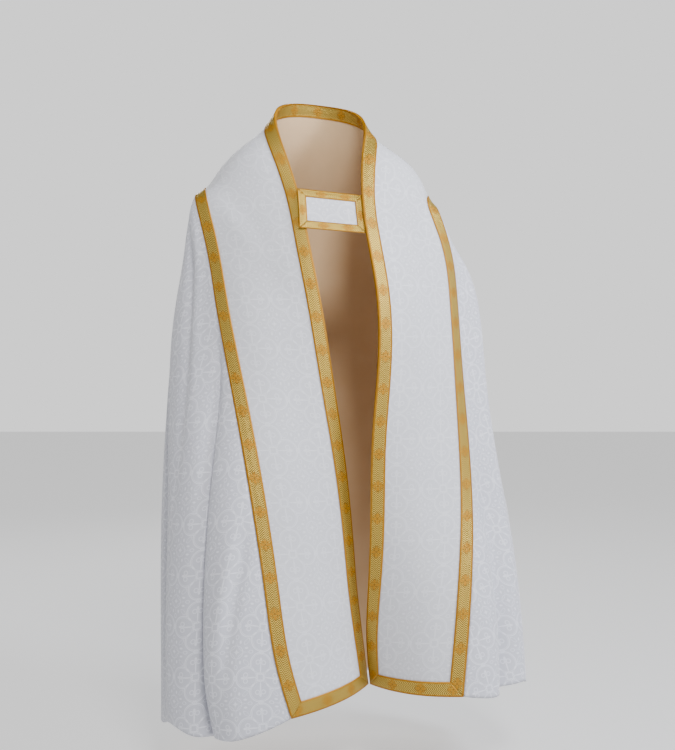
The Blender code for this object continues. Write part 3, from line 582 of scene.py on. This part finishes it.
# Laps: where the front wall of a main fold slides over it. Before is how far in front of the
# fold's middle the slide is strongest, slide how far it goes, and the rest as in the folds.
#    side      at      drift   before   slide    half   fold down  lap down
LAPS = [
    ("right", 0.022,   0.172,  0.020,   0.024,   0.015,   0.20,     0.30),
    ("left",  0.045,   0.092,  0.020,   0.010,   0.016,   0.40,     0.62),
]

# Over what share down a lap grows, how near a seam creases fade, and how far they wander.
LAP_GROWS, SEAM_HOLD, CREASE_WANDER = 0.35, 0.04, 0.006

# Creases pressed straight across the back: share down, and how far each stands out.
PRESS_LINES = [(0.615, 0.0022), (0.845, 0.0018)]
PRESS_HALF, PRESS_FROM, PRESS_FADE = 0.007, 0.45, 0.15


def seam_place(side, down):
    if side == "right":
        return BAND_KNOTS[RIGHT_SHOULDER] * (1.0 - down)
    start = BAND_KNOTS[LEFT_SHOULDER]
    return start + (BAND_LENGTH - start) * down


def back_seam_places(side, shares):
    shoulder = BAND_KNOTS[RIGHT_SHOULDER if side == "right" else LEFT_SHOULDER]
    s = np.linspace(shoulder, NAPE_S, SECTION_STEPS)
    run = lengths_along(band_frame(s)[1])
    return np.interp(shares * run[-1], run, s)


def read_at_shares(points, shares):
    run = lengths_along(points)
    return np.stack([np.interp(shares * run[-1], run, points[:, axis]) for axis in range(3)], axis=1)


def section_line(side, down):
    """A fine line round half of one section, from the front seam to the centre back."""
    table = np.array(SECTIONS)
    row = natural_spline(table[:, 0], table[:, 1:], down)[0]
    flank = row[0:3] if side == "right" else row[5:8]
    back_y, back_z = row[3], row[4]
    place = np.array([seam_place(side, down)])
    edge, seam, bow, out = band_frame(place)
    near = edge * 0.03 + seam * 0.97 + 4.0 * 0.97 * 0.03 * bow * out
    leave = unit(seam[0] - near[0])
    start = seam[0]
    reach = np.linalg.norm(flank - start)
    first = start + HANDLE_SHARE * reach * leave
    first[2] += HEM_SWEEP * (flank[2] - start[2])
    second = flank - np.array([0.0, HANDLE_SHARE * reach, 0.0])
    t = np.linspace(0.0, 1.0, SECTION_STEPS)[:, None]
    front = (1 - t)**3 * start + 3 * (1 - t)**2 * t * first + 3 * (1 - t) * t**2 * second + t**3 * flank
    angle = np.linspace(0.0, 0.5 * math.pi, SECTION_STEPS)
    power = 2.0 / SECTION_SQUARENESS
    x = flank[0] * np.maximum(np.cos(angle), 0.0) ** power
    y = flank[1] + (back_y - flank[1]) * np.sin(angle) ** power
    z = flank[2] + (back_z - flank[2]) * np.sin(angle) ** 2
    x[-1] = 0.0
    return np.concatenate([front, np.stack([x, y, z], axis=1)[1:]])


def body_half(side, down, shares):
    """The outer face of one half of the body: rows down, columns from the seam to the centre back."""
    rows = np.array([read_at_shares(section_line(side, share), shares) for share in down])
    back_seam = band_frame(back_seam_places(side, shares))[1]
    settle = (1.0 - smoothstep(down / SETTLE_SHARE))[:, None, None]
    rows = rows + settle * (back_seam - rows[0])
    seam = band_frame(seam_place(side, down))[1]
    for lift_side, at, half, lift in HEM_LIFTS:
        if lift_side == side:
            reach = smoothstep(2.0 * down - 1.0)[:, None]
            rows[..., 2] += lift * reach * np.exp(-0.5 * ((shares[None, :] - at) / half) ** 2)
    rows[:, 0] = seam
    sideways = np.gradient(rows, axis=1)
    sideways[..., 2] = 0.0
    turn = -1.0 if side == "right" else 1.0
    out = unit(np.stack([sideways[..., 1], -sideways[..., 0], np.zeros(rows.shape[:2])], axis=-1))
    girth = np.array([lengths_along(row)[-1] for row in rows])[:, None]
    for fold_side, at, drift, depth, half, start in FOLDS:
        if fold_side != side:
            continue
        grow = smoothstep((down - start) / (1.0 - start))[:, None]
        across = (shares[None, :] - at - drift * grow) * girth
        rows = rows + (turn * depth * grow * np.exp(-0.5 * (across / half) ** 2))[..., None] * out
    along_row = unit(sideways)
    for fold_side, at, drift, before, slide, half, start, lap_start in LAPS:
        if fold_side != side:
            continue
        centre = at + drift * smoothstep((down - start) / (1.0 - start))[:, None]
        grow = smoothstep((down - lap_start) / LAP_GROWS)[:, None]
        across = (shares[None, :] - centre) * girth + before
        rows = rows + (slide * grow * np.exp(-0.5 * (across / half) ** 2))[..., None] * along_row
    hold = smoothstep(shares / SEAM_HOLD)[None, :] * smoothstep((1.0 - shares) / SEAM_HOLD)[None, :]
    for fold_side, at, drift, height, half, start, full, end in CREASES:
        if fold_side != side:
            continue
        grow = smoothstep((down - start) / (full - start)) * (1.0 - smoothstep((down - full) / (end - full)))
        wander = CREASE_WANDER * np.sin(9.0 * down + 40.0 * at)
        across = (shares[None, :] - (at + drift * down + wander)[:, None]) * girth
        rise = height * grow[:, None] * np.exp(-0.5 * (across / half) ** 2) * hold
        rows = rows + (turn * rise)[..., None] * out
    behind = smoothstep((shares - PRESS_FROM) / PRESS_FADE)[None, :]
    for level, height in PRESS_LINES:
        rise = height * np.exp(-np.abs(down - level) / PRESS_HALF)[:, None] * behind
        rows = rows + (turn * rise)[..., None] * out
    rows[:, 0] = seam
    return rows


# Ground colours, then figure colours painted lighter: a painted sheen.
BODY_DAMASK = damask("white damask of the body", ("b7b8c2", "c1c2cb"), ("d1d2da", "dcdde5"))
BODY_COLUMNS = 176
BODY_ROWS = 170


def body_panel(side):
    """One quarter of the body, and the points of its outer face."""
    down = np.linspace(0.0, 1.0, BODY_ROWS)
    shares = np.linspace(0.0, 1.0, BODY_COLUMNS)
    points = body_half(side, down, shares)
    from_back = np.array([lengths_along(row[::-1])[::-1] for row in points])
    drop = np.array([lengths_along(points[:, column]) for column in range(BODY_COLUMNS)]).T
    sign = -1.0 if side == "right" else 1.0
    measure = np.stack([sign * from_back, drop], axis=-1)
    points[:, 0] += SEAM_GAP * unit(points[:, 1] - points[:, 0])
    piece = cloth_mesh(side + "_body", points, measure, outward_normals(points), CLOTH_THICKNESS)
    finish_piece(piece, BODY_DAMASK, "damask", "body_" + side)
    return piece, points


body_right, right_points = body_panel("right")
body_left, left_points = body_panel("left")


# ---------------------------------------------------------------------------------------------
# Linings: plain pinkish-cream taffeta, cut like the damask and bagged out with it, so it stops a
# little short of the hem. It shows inside the neck and through the front opening.
LINING_DEPTH = 0.0026
LINING_SHORT = 0.004
LINING_ROWS, LINING_COLUMNS = 360, 16


def taffeta(name):
    """Plain lining taffeta with a fine rib and a little silk sheen."""
    material = bpy.data.materials.new(name)
    material.use_nodes = True
    tree = material.node_tree
    shader = tree.nodes["Principled BSDF"]
    u, v = cloth_millimetres(tree)
    place = add_node(tree, "ShaderNodeTexCoord").outputs["Object"]
    cloud = add_node(tree, "ShaderNodeTexNoise", {"Vector": place, "Scale": 14.0, "Detail": 3.0}).outputs[0]
    tree.links.new(blended(tree, cloud, colour("cbaa80"), colour("d6b891")), shader.inputs["Base Color"])
    shader.inputs["Roughness"].default_value = 0.74
    shader.inputs["Sheen Weight"].default_value = 0.25
    ribs = calc(tree, "SINE", calc(tree, "MULTIPLY", v, 2.0 * math.pi / 0.7))
    threads = calc(tree, "SINE", calc(tree, "MULTIPLY", u, 2.0 * math.pi / 0.5))
    rumple = add_node(tree, "ShaderNodeTexNoise", {"Vector": place, "Scale": 30.0, "Detail": 4.0}).outputs[0]
    height = calc(tree, "MULTIPLY", calc(tree, "ADD", ribs, threads), 0.00002)
    height = calc(tree, "MULTIPLY_ADD", rumple, 0.0012, height)
    bump = add_node(tree, "ShaderNodeBump", {"Strength": 0.5, "Distance": 1.0, "Height": height})
    tree.links.new(bump.outputs[0], shader.inputs["Normal"])
    return material


LINING_TAFFETA = taffeta("cream taffeta lining")


def lining(name, points, measure, node):
    """Lining on the inner side of the cloth whose outer face has these points."""
    normals = outward_normals(points)
    inner = points - LINING_DEPTH * normals
    piece = cloth_mesh(name, inner, measure, -normals)
    finish_piece(piece, LINING_TAFFETA, "lining", node)
    return piece


s = np.linspace(LINING_SHORT, BAND_LENGTH - LINING_SHORT, LINING_ROWS)[:, None] * np.ones((1, LINING_COLUMNS))
share = np.linspace(0.0, 1.0, LINING_COLUMNS)[None, :]
d = EDGE_DRAWN_IN + share * (band_width(s[:, 0])[:, None] - EDGE_DRAWN_IN)
orphrey_lining = lining("orphrey_lining", band_points(s, d), np.stack([d, s], axis=-1), "lining_orphrey")
lining_points = np.concatenate([right_points[:, ::2], left_points[:, ::-1][:, 1::2]], axis=1)[:-1:2]
lining_run = np.array([lengths_along(row) for row in lining_points])
lining_drop = np.array([lengths_along(column) for column in lining_points.swapaxes(0, 1)]).T
lining_measure = np.stack([lining_run, lining_drop], axis=-1)
body_lining = lining("body_lining", lining_points, lining_measure, "lining_body")


# ---------------------------------------------------------------------------------------------
# Back-seam galloon and neck facing: one short braid covers the orphreys' join behind the neck, and
# another is turned down inside the neck, over the lining.
BACK_BRAID_STEPS, BACK_BRAID_STARTS = 40, 0.0305
FACING_STEPS, FACING_REACH, FACING_DEPTH = 130, 0.27, 0.0036
s = NAPE_S + (STEPS_ACROSS[None, :] - 0.5) * GALLOON_WIDTH * np.ones((BACK_BRAID_STEPS, 1))
nape_width = band_width(s.reshape(-1)).reshape(s.shape)
down = np.linspace(0.0, 1.0, BACK_BRAID_STEPS)[:, None]
d = BACK_BRAID_STARTS + down * (nape_width - 2.0 * BACK_BRAID_STARTS)
galloon_back = braid("back_seam_galloon", band_points(s, d), inward * np.ones((BACK_BRAID_STEPS, 1)), d,
                     "galloon_back_seam")
s = NAPE_S + np.linspace(-FACING_REACH, FACING_REACH, FACING_STEPS)[:, None] * np.ones_like(inward)
d = inward * np.ones((FACING_STEPS, 1))
facing_points = band_points(s, d)
facing_normals = outward_normals(facing_points)
facing_inside = facing_points - FACING_DEPTH * facing_normals
galloon_facing = cloth_mesh("neck_facing_galloon", facing_inside, np.stack([d, s], axis=-1), -facing_normals)
finish_piece(galloon_facing, GALLOON_BRAID, "galloon", "galloon_neck_inside")


# ---------------------------------------------------------------------------------------------
# Hood: a flat shield of doubled white damask with round lower corners, hung below the seam galloon
# on the back. One galloon binds its edge, and another makes a closed frame inside it.
HOOD_WIDTH = 0.515
HOOD_HEIGHT = 0.450
HOOD_CORNER = 0.100
HOOD_BELOW_SEAM = 0.003
HOOD_LIFT_TOP, HOOD_LIFT_BOTTOM, HOOD_LIFT_SIDES = 0.0060, 0.017, 0.008
HOOD_FRAME_INSET = 0.049
HOOD_TRIM_STANDS = 0.0030
BACK_X = np.linspace(-0.33, 0.33, 133)
BACK_MIDDLE = 120

back_down = np.linspace(0.0, 0.5, 61)
back_shares = np.linspace(0.0, 1.0, BACK_MIDDLE + 1)
back_right = body_half("right", back_down, back_shares)
back_left = body_half("left", back_down, back_shares)[:, ::-1]
back_rings = np.concatenate([back_right, back_left[:, 1:]], axis=1)
back_normals = outward_normals(back_rings)
back_drops = lengths_along(back_rings[:, BACK_MIDDLE])
back_surface = []
for ring, ring_normals in zip(back_rings, back_normals):
    run = lengths_along(ring)
    place = run[BACK_MIDDLE] + BACK_X
    back_surface.append(np.stack(
        [np.interp(place, run, ring[:, axis]) for axis in range(3)]
        + [np.interp(place, run, ring_normals[:, axis]) for axis in range(3)], axis=1))
back_surface = np.array(back_surface)


def hood_surface(x, drop):
    """The hood's outer face and normals at x across and drop below its top (arrays, same shape)."""
    row = np.interp(HOOD_BELOW_SEAM + drop, back_drops, np.arange(len(back_drops)))
    column = (x - BACK_X[0]) / (BACK_X[1] - BACK_X[0])
    low_row = np.clip(row.astype(int), 0, len(back_drops) - 2)
    low_column = np.clip(column.astype(int), 0, len(BACK_X) - 2)
    a, b = (row - low_row)[..., None], (column - low_column)[..., None]
    read = (back_surface[low_row, low_column] * (1 - a) * (1 - b)
            + back_surface[low_row + 1, low_column] * a * (1 - b)
            + back_surface[low_row, low_column + 1] * (1 - a) * b
            + back_surface[low_row + 1, low_column + 1] * a * b)
    normals = unit(read[..., 3:])
    share = np.clip(drop / HOOD_HEIGHT, 0.0, 1.0)
    lift = HOOD_LIFT_TOP + (HOOD_LIFT_BOTTOM - HOOD_LIFT_TOP) * share
    lift = lift + HOOD_LIFT_SIDES * (2.0 * x / HOOD_WIDTH) ** 2
    sway = 0.0016 * np.sin(21.0 * x + 1.0) * np.sin(2.6 * share) + 0.0012 * np.sin(13.0 * x - 2.0) * share
    return read[..., :3] + (lift + sway)[..., None] * normals, normals, lift


def hood_outline(inset, steps):
    """Points (x, drop) down one side, round the bottom and up the other, at an inset from the edge."""
    floor = HOOD_HEIGHT - HOOD_CORNER
    half = 0.5 * HOOD_WIDTH - HOOD_CORNER
    corner = HOOD_CORNER - inset
    arc = 0.5 * math.pi * HOOD_CORNER
    total = 2.0 * (floor + arc + half)
    run = np.linspace(0.0, total, steps)
    mirrored = np.minimum(run, total - run)
    angle = np.clip((mirrored - floor) / HOOD_CORNER, 0.0, 0.5 * math.pi)
    x = -(half + corner * np.cos(angle))
    x = np.where(mirrored > floor + arc, -(half - (mirrored - floor - arc)), x)
    drop = np.where(mirrored < floor, mirrored, floor + corner * np.sin(angle))
    return np.where(run > 0.5 * total, -x, x), drop, run


# Ground colours, then figure colours painted lighter: a painted sheen.
HOOD_DAMASK = damask("white damask of the hood", ("c6c7cf", "cccdd4"), ("d6d7dd", "dddee3"), 0.0, 30.0)
HOOD_ROWS, HOOD_COLUMNS = 90, 96
STRAIGHT_SHARE = 0.7
rows_down = np.linspace(0.0, 1.0, HOOD_ROWS)
floor = HOOD_HEIGHT - HOOD_CORNER
turned = (rows_down - STRAIGHT_SHARE) / (1.0 - STRAIGHT_SHARE) * 0.5 * math.pi
drop = np.where(rows_down < STRAIGHT_SHARE, rows_down / STRAIGHT_SHARE * floor,
                floor + HOOD_CORNER * np.sin(turned))
rounded = np.sqrt(np.clip(1.0 - ((drop - floor) / HOOD_CORNER) ** 2, 0.0, 1.0))
half = np.where(drop <= floor, 0.5 * HOOD_WIDTH, 0.5 * HOOD_WIDTH - HOOD_CORNER * (1.0 - rounded))
x = half[:, None] * np.linspace(-1.0, 1.0, HOOD_COLUMNS)[None, :]
drop = drop[:, None] * np.ones_like(x)
hood_points, hood_normals, _ = hood_surface(x, drop)
hood = cloth_mesh("hood_shield", hood_points, np.stack([x, drop], axis=-1), hood_normals, CLOTH_THICKNESS)
finish_piece(hood, HOOD_DAMASK, "damask", "hood")


def hood_braid(name, outline_outer, outline_inner, node):
    """A strip of galloon on the hood, between two lines on it."""
    (x_out, drop_out, run), (x_in, drop_in, _) = outline_outer, outline_inner
    share = STEPS_ACROSS[None, :]
    x = x_out[:, None] * (1.0 - share) + x_in[:, None] * share
    drop = drop_out[:, None] * (1.0 - share) + drop_in[:, None] * share
    points, normals, _ = hood_surface(x, drop)
    across = GALLOON_WIDTH * share * np.ones_like(x)
    crown = GALLOON_CROWN * (1.0 - (2.0 * share - 1.0) ** 2)
    raised = points + (HOOD_TRIM_STANDS + crown)[..., None] * normals
    measure = np.stack([across, run[:, None] * np.ones_like(x)], axis=-1)
    piece = cloth_mesh(name, raised, measure, normals, GALLOON_THICKNESS)
    finish_piece(piece, GALLOON_BRAID, "galloon", node)
    return piece


BORDER_STEPS, FRAME_STEPS, HEAD_STEPS = 260, 240, 70
galloon_hood_border = hood_braid("hood_border_galloon", hood_outline(0.0, BORDER_STEPS),
                                 hood_outline(GALLOON_WIDTH, BORDER_STEPS), "galloon_hood_border")
outer = hood_outline(HOOD_FRAME_INSET, FRAME_STEPS)
inner = hood_outline(HOOD_FRAME_INSET + GALLOON_WIDTH, FRAME_STEPS)
inner_drop = np.maximum(inner[1], GALLOON_WIDTH)
galloon_hood_frame = hood_braid("hood_frame_galloon", outer, (inner[0], inner_drop, inner[2]),
                                "galloon_hood_frame")
reach = 0.5 * HOOD_WIDTH - HOOD_FRAME_INSET
head_run = np.linspace(-1.0, 1.0, HEAD_STEPS)
head_outer = (reach * head_run, np.zeros(HEAD_STEPS), reach * head_run)
head_inner = ((reach - GALLOON_WIDTH) * head_run, np.full(HEAD_STEPS, GALLOON_WIDTH), reach * head_run)
galloon_hood_head = hood_braid("hood_head_galloon", head_outer, head_inner, "galloon_hood_frame")


# ---------------------------------------------------------------------------------------------
# Bullion fringe: twisted cords of antique gold thread, sewn side by side behind the hood's border
# galloon. They hang from the sides and bottom of the hood.
FRINGE_LENGTH = 0.060
FRINGE_PITCH = 0.0031
CORD_RADIUS = 0.0015
CORD_SIDES = 6
CORD_STEPS = 13
CORD_TURN = 0.0022
FRINGE_INSET, FRINGE_STARTS = 0.004, 0.055


def bullion(name):
    """Antique gold thread, twisted: the grooves between the strands are painted darker, a painted shade, and
    the strands are a lighter gold.
    """
    material = bpy.data.materials.new(name)
    material.use_nodes = True
    tree = material.node_tree
    shader = tree.nodes["Principled BSDF"]
    turn, along = cloth_millimetres(tree)
    per_millimetre = 2.0 * math.pi / (1000.0 * CORD_TURN)
    twist = calc(tree, "SINE", calc(tree, "MULTIPLY", calc(tree, "ADD", turn, along), per_millimetre))
    strand = add_node(tree, "ShaderNodeMapRange", {0: twist, 1: -1.0, 2: 0.8, 3: 0.0, 4: 1.0}).outputs[0]
    place = add_node(tree, "ShaderNodeTexCoord").outputs["Object"]
    cords = add_node(tree, "ShaderNodeTexNoise", {"Vector": place, "Scale": 160.0, "Detail": 2.0}).outputs[0]
    gold = blended(tree, cords, colour("a88a45"), colour("c9ae6c"))
    # Dark brown in the grooves between the strands: painted shade.
    tree.links.new(blended(tree, strand, colour("5f4a20"), gold), shader.inputs["Base Color"])
    shader.inputs["Metallic"].default_value = 0.35
    shader.inputs["Roughness"].default_value = 0.42
    bump = add_node(tree, "ShaderNodeBump", {"Strength": 0.8, "Distance": 0.0004, "Height": strand})
    tree.links.new(bump.outputs[0], shader.inputs["Normal"])
    return material


outline_x, outline_drop, outline_run = hood_outline(FRINGE_INSET, 3000)
roots = np.arange(FRINGE_STARTS, outline_run[-1] - FRINGE_STARTS, FRINGE_PITCH)
cord_count = len(roots)
root_x = np.interp(roots, outline_run, outline_x)
root_drop = np.interp(roots, outline_run, outline_drop)
ahead_x = np.interp(roots + 0.001, outline_run, outline_x) - root_x
ahead_drop = np.interp(roots + 0.001, outline_run, outline_drop) - root_drop
out_x, out_drop = -ahead_drop, ahead_x
size = np.hypot(out_x, out_drop)
out_x, out_drop = out_x / size, out_drop / size
chance = np.random.default_rng(7)
splay = chance.normal(0.0, 0.06, cord_count)
long = FRINGE_LENGTH * (1.0 + chance.normal(0.0, 0.025, cord_count))
lie = chance.uniform(-0.0016, 0.0016, cord_count)
curl = chance.normal(0.0, 0.10, cord_count)
fall = np.clip(1.25 * (1.0 - np.clip(out_drop, 0.0, 1.0)), 0.0, 1.25)
t = np.linspace(0.0, 1.0, CORD_STEPS)
lean_x = out_x[:, None] * 0.75 + splay[:, None] * 0.6 + curl[:, None] * t * 0.5
lean_drop = out_drop[:, None] + fall[:, None] * (0.7 + 0.6 * t[None, :])
step_size = np.hypot(lean_x, lean_drop)
step_x = lean_x / step_size * long[:, None] / (CORD_STEPS - 1)
step_drop = lean_drop / step_size * long[:, None] / (CORD_STEPS - 1)
cord_x = root_x[:, None] + np.cumsum(step_x, axis=1) - step_x[:, :1]
cord_drop = root_drop[:, None] + np.cumsum(step_drop, axis=1) - step_drop[:, :1]
cord_centre, cord_normal, cord_lift = hood_surface(cord_x, cord_drop)
sink = (0.0016 + 0.30 * cord_lift * t[None, :] ** 2 * np.clip(out_drop, 0.2, 1.0)[:, None]) - lie[:, None]
cord_centre = cord_centre - sink[..., None] * cord_normal
cord_along = unit(np.gradient(cord_centre, axis=1))
cord_side = unit(np.cross(cord_along, cord_normal))
around = np.linspace(0.0, 2.0 * math.pi, CORD_SIDES + 1)
radius = (CORD_RADIUS * (1.0 - 0.25 * (t > 0.97)))[None, :, None]
rings = []
for angle in around:
    outwards = math.cos(angle) * cord_side + math.sin(angle) * cord_normal
    rings.append(cord_centre + radius * outwards)
rings = np.stack(rings, axis=2)
cords = bmesh.new()
uv = cords.loops.layers.uv.new("cloth_metres")
for number in range(cord_count):
    loop_rows = [[cords.verts.new(rings[number, step, k]) for k in range(CORD_SIDES)]
                 for step in range(CORD_STEPS)]
    for step in range(CORD_STEPS - 1):
        for k in range(CORD_SIDES):
            n = (k + 1) % CORD_SIDES
            upper, lower = loop_rows[step], loop_rows[step + 1]
            face = cords.faces.new((upper[k], lower[k], lower[n], upper[n]))
            face.smooth = True
            turns = (k, step), (k, step + 1), (k + 1, step + 1), (k + 1, step)
            for loop, (turn, at) in zip(face.loops, turns):
                loop[uv].uv = (CORD_TURN * turn / CORD_SIDES, long[number] * t[at])
    cords.faces.new(loop_rows[-1][::-1])
bmesh.ops.recalc_face_normals(cords, faces=cords.faces)
fringe_mesh = bpy.data.meshes.new("hood_bullion_fringe")
cords.to_mesh(fringe_mesh)
cords.free()
fringe = bpy.data.objects.new("hood_bullion_fringe", fringe_mesh)
bpy.context.scene.collection.objects.link(fringe)
finish_piece(fringe, bullion("antique gold bullion"), "fringe", "hood_fringe")


# ---------------------------------------------------------------------------------------------
# Morse: the clasp panel of stiffened white damask across the chest, framed in narrow galloon. Its
# right end is sewn on the right front's galloon, and its left end hooks in behind the left front.
MORSE_TOP, MORSE_BOTTOM, MORSE_TILT = -0.108, -0.196, -0.007
MORSE_LAP_TOP, MORSE_LAP_BOTTOM, MORSE_TUCK = 0.001, 0.015, 0.006
MORSE_OVER, MORSE_UNDER = 0.0070, 0.0080
MORSE_FRAME = 0.0185
MORSE_TURNED_IN, MORSE_THICKNESS = 0.0012, 0.0022
MORSE_BRAID_STANDS, MORSE_BRAID_CROWN, MORSE_BRAID_STEPS = 0.0013, 0.0002, 40


def morse_end(side, distances, offset, steps):
    """Points down one end of the morse, at distances (top, bottom) from the opening's edge."""
    tilt = 0.0 if side == "right" else MORSE_TILT
    start, end = (0.0, NAPE_S) if side == "right" else (BAND_LENGTH, NAPE_S)
    s = np.linspace(start, end, 900)
    heights = band_frame(s)[0][:, 2]
    rising = slice(0, int(np.argmax(heights)) + 1)
    s = np.interp(np.linspace(MORSE_TOP, MORSE_BOTTOM, steps) + tilt, heights[rising], s[rising])
    grid_s = s[:, None] * np.ones((1, 3))
    grid_d = np.linspace(distances[0], distances[1], steps)[:, None] * np.array([[0.0, 1.0, 2.0]])
    patch = band_points(grid_s, grid_d)
    return patch[:, 1] + offset * outward_normals(patch)[:, 1]


morse_rows, morse_columns = 25, 37
over = morse_end("right", (MORSE_LAP_TOP, MORSE_LAP_BOTTOM), MORSE_OVER, morse_rows)
under = morse_end("left", (MORSE_TUCK, MORSE_TUCK), -MORSE_UNDER, morse_rows)
across = np.linspace(0.0, 1.0, morse_columns)
down = np.linspace(0.0, 1.0, morse_rows)
morse_width = float(np.linalg.norm(under - over, axis=1).mean())
morse_height = float(np.linalg.norm(over[-1] - over[0]))


def morse_surface(u, v):
    """Points on the morse at u across (from its right end) and v down, both in metres."""
    share = np.clip(u / morse_width, 0.0, 1.0)
    depth = np.clip(v / morse_height, 0.0, 1.0)
    right_end = np.stack([np.interp(depth, down, over[:, axis]) for axis in range(3)], axis=-1)
    left_end = np.stack([np.interp(depth, down, under[:, axis]) for axis in range(3)], axis=-1)
    return right_end * (1.0 - share[..., None]) + left_end * share[..., None]


u, v = np.meshgrid(MORSE_TURNED_IN + across * (morse_width - 2.0 * MORSE_TURNED_IN),
                   MORSE_TURNED_IN + down * (morse_height - 2.0 * MORSE_TURNED_IN))
points = morse_surface(u, v)
morse = cloth_mesh("morse_panel", points, np.stack([u, v], axis=-1), outward_normals(points), MORSE_THICKNESS)
finish_piece(morse, HOOD_DAMASK, "damask", "morse")
MORSE_BRAID = galloon("narrow gold galloon of the morse", 52.0)
braid_scale = GALLOON_WIDTH / MORSE_FRAME
for edge_name in ("top", "bottom", "right", "left"):
    inset = MORSE_FRAME * STEPS_ACROSS[None, :] * np.ones((MORSE_BRAID_STEPS, 1))
    run = np.linspace(0.0, 1.0, MORSE_BRAID_STEPS)[:, None]
    side_length = morse_width if edge_name in ("top", "bottom") else morse_height
    lengthways = inset + run * (side_length - 2.0 * inset)
    if edge_name == "top":
        u, v = lengthways, inset
    elif edge_name == "bottom":
        u, v = lengthways, morse_height - inset
    elif edge_name == "right":
        u, v = inset, lengthways
    else:
        u, v = morse_width - inset, lengthways
    points = morse_surface(u, v)
    normals = outward_normals(points)
    crown = MORSE_BRAID_CROWN * (1.0 - (2.0 * STEPS_ACROSS[None, :, None] - 1.0) ** 2)
    raised = points + (MORSE_BRAID_STANDS + crown) * normals
    measure = np.stack([inset * braid_scale, lengthways], axis=-1)
    strip = cloth_mesh("morse_galloon_" + edge_name, raised, measure, normals, GALLOON_THICKNESS)
    finish_piece(strip, MORSE_BRAID, "galloon", "galloon_morse")


# ---------------------------------------------------------------------------------------------
# Studio: a plain pale floor, a broad soft light in front, a cooler one to the right and one behind,
# in a white room that is brightest at the far wall and dark overhead.
FLOOR_BELOW_HEM = 0.10
FLOOR_HALF = 14.0
floor_build = bmesh.new()
bmesh.ops.create_grid(floor_build, x_segments=1, y_segments=1, size=FLOOR_HALF)
floor_mesh = bpy.data.meshes.new("studio_floor")
floor_build.to_mesh(floor_mesh)
floor_build.free()
studio_floor = bpy.data.objects.new("studio_floor", floor_mesh)
for corner in floor_mesh.vertices:
    corner.co.z = CAD_LOW[2] - FLOOR_BELOW_HEM
bpy.context.scene.collection.objects.link(studio_floor)
floor_paint = bpy.data.materials.new("white studio floor")
floor_paint.use_nodes = True
floor_finish = {"Base Color": (0.32, 0.32, 0.32, 1.0), "Roughness": 0.9,
                "Emission Color": (1.0, 1.0, 1.0, 1.0), "Emission Strength": 0.74}
for socket, value in floor_finish.items():
    floor_paint.node_tree.nodes["Principled BSDF"].inputs[socket].default_value = value
floor_mesh.materials.append(floor_paint)

room = bpy.data.worlds.new("white studio room")
room.use_nodes = True
walls = room.node_tree
looking = add_node(walls, "ShaderNodeTexCoord").outputs["Generated"]
heading = add_node(walls, "ShaderNodeSeparateXYZ", {0: looking}).outputs
height = calc(walls, "ABSOLUTE", heading[2])
NEAR_WALL, FAR_WALL, OVERHEAD = 0.70, 1.22, 0.05
backdrop = add_node(walls, "ShaderNodeMapRange", {0: heading[1], 1: -0.6, 2: 0.8, 3: NEAR_WALL, 4: FAR_WALL},
                    interpolation_type="SMOOTHSTEP")
glow = add_node(walls, "ShaderNodeMapRange",
                {0: height, 1: 0.34, 2: 0.60, 3: backdrop.outputs[0], 4: OVERHEAD},
                interpolation_type="SMOOTHSTEP")
walls.nodes["Background"].inputs["Color"].default_value = (1.0, 1.0, 1.0, 1.0)
walls.links.new(glow.outputs[0], walls.nodes["Background"].inputs["Strength"])
bpy.context.scene.world = room


def soft_light(name, place, target, size, power, tint):
    """A rectangular area light at a place, turned towards its target."""
    lamp = bpy.data.lights.new(name, "AREA")
    lamp.shape = "RECTANGLE"
    lamp.size, lamp.size_y = size
    lamp.energy = power
    lamp.color = tint
    holder = bpy.data.objects.new(name, lamp)
    holder.location = place
    aim = np.array(target) - np.array(place)
    holder.rotation_euler = (math.atan2(math.hypot(aim[0], aim[1]), -aim[2]), 0.0,
                             math.atan2(aim[1], aim[0]) - 0.5 * math.pi)
    bpy.context.scene.collection.objects.link(holder)


soft_light("front softbox", (0.62, -2.5, 1.6), (0.0, 0.0, -0.3), (0.8, 0.8), 119.0, (1.0, 0.99, 0.98))
soft_light("cool softbox", (2.5, -1.3, 1.4), (0.0, 0.0, -0.3), (0.8, 0.8), 135.0, (0.84, 0.89, 1.0))
soft_light("back softbox", (-0.8, 3.0, 1.4), (0.0, 0.0, -0.5), (1.4, 1.4), 60.0, (0.97, 0.98, 1.0))

CAMERA_AT = (0.0315, -2.40, -0.506)
HALF_HEIGHT_AT_ONE_METRE = 0.35156
eye = bpy.data.cameras.new("camera")
eye.sensor_fit = "VERTICAL"
eye.angle_y = 2.0 * math.atan(HALF_HEIGHT_AT_ONE_METRE)
camera = bpy.data.objects.new("camera", eye)
camera.location = CAMERA_AT
camera.rotation_euler = (0.5 * math.pi, 0.0, 0.0)
bpy.context.scene.collection.objects.link(camera)
bpy.context.scene.camera = camera

bpy.context.view_layer.update()
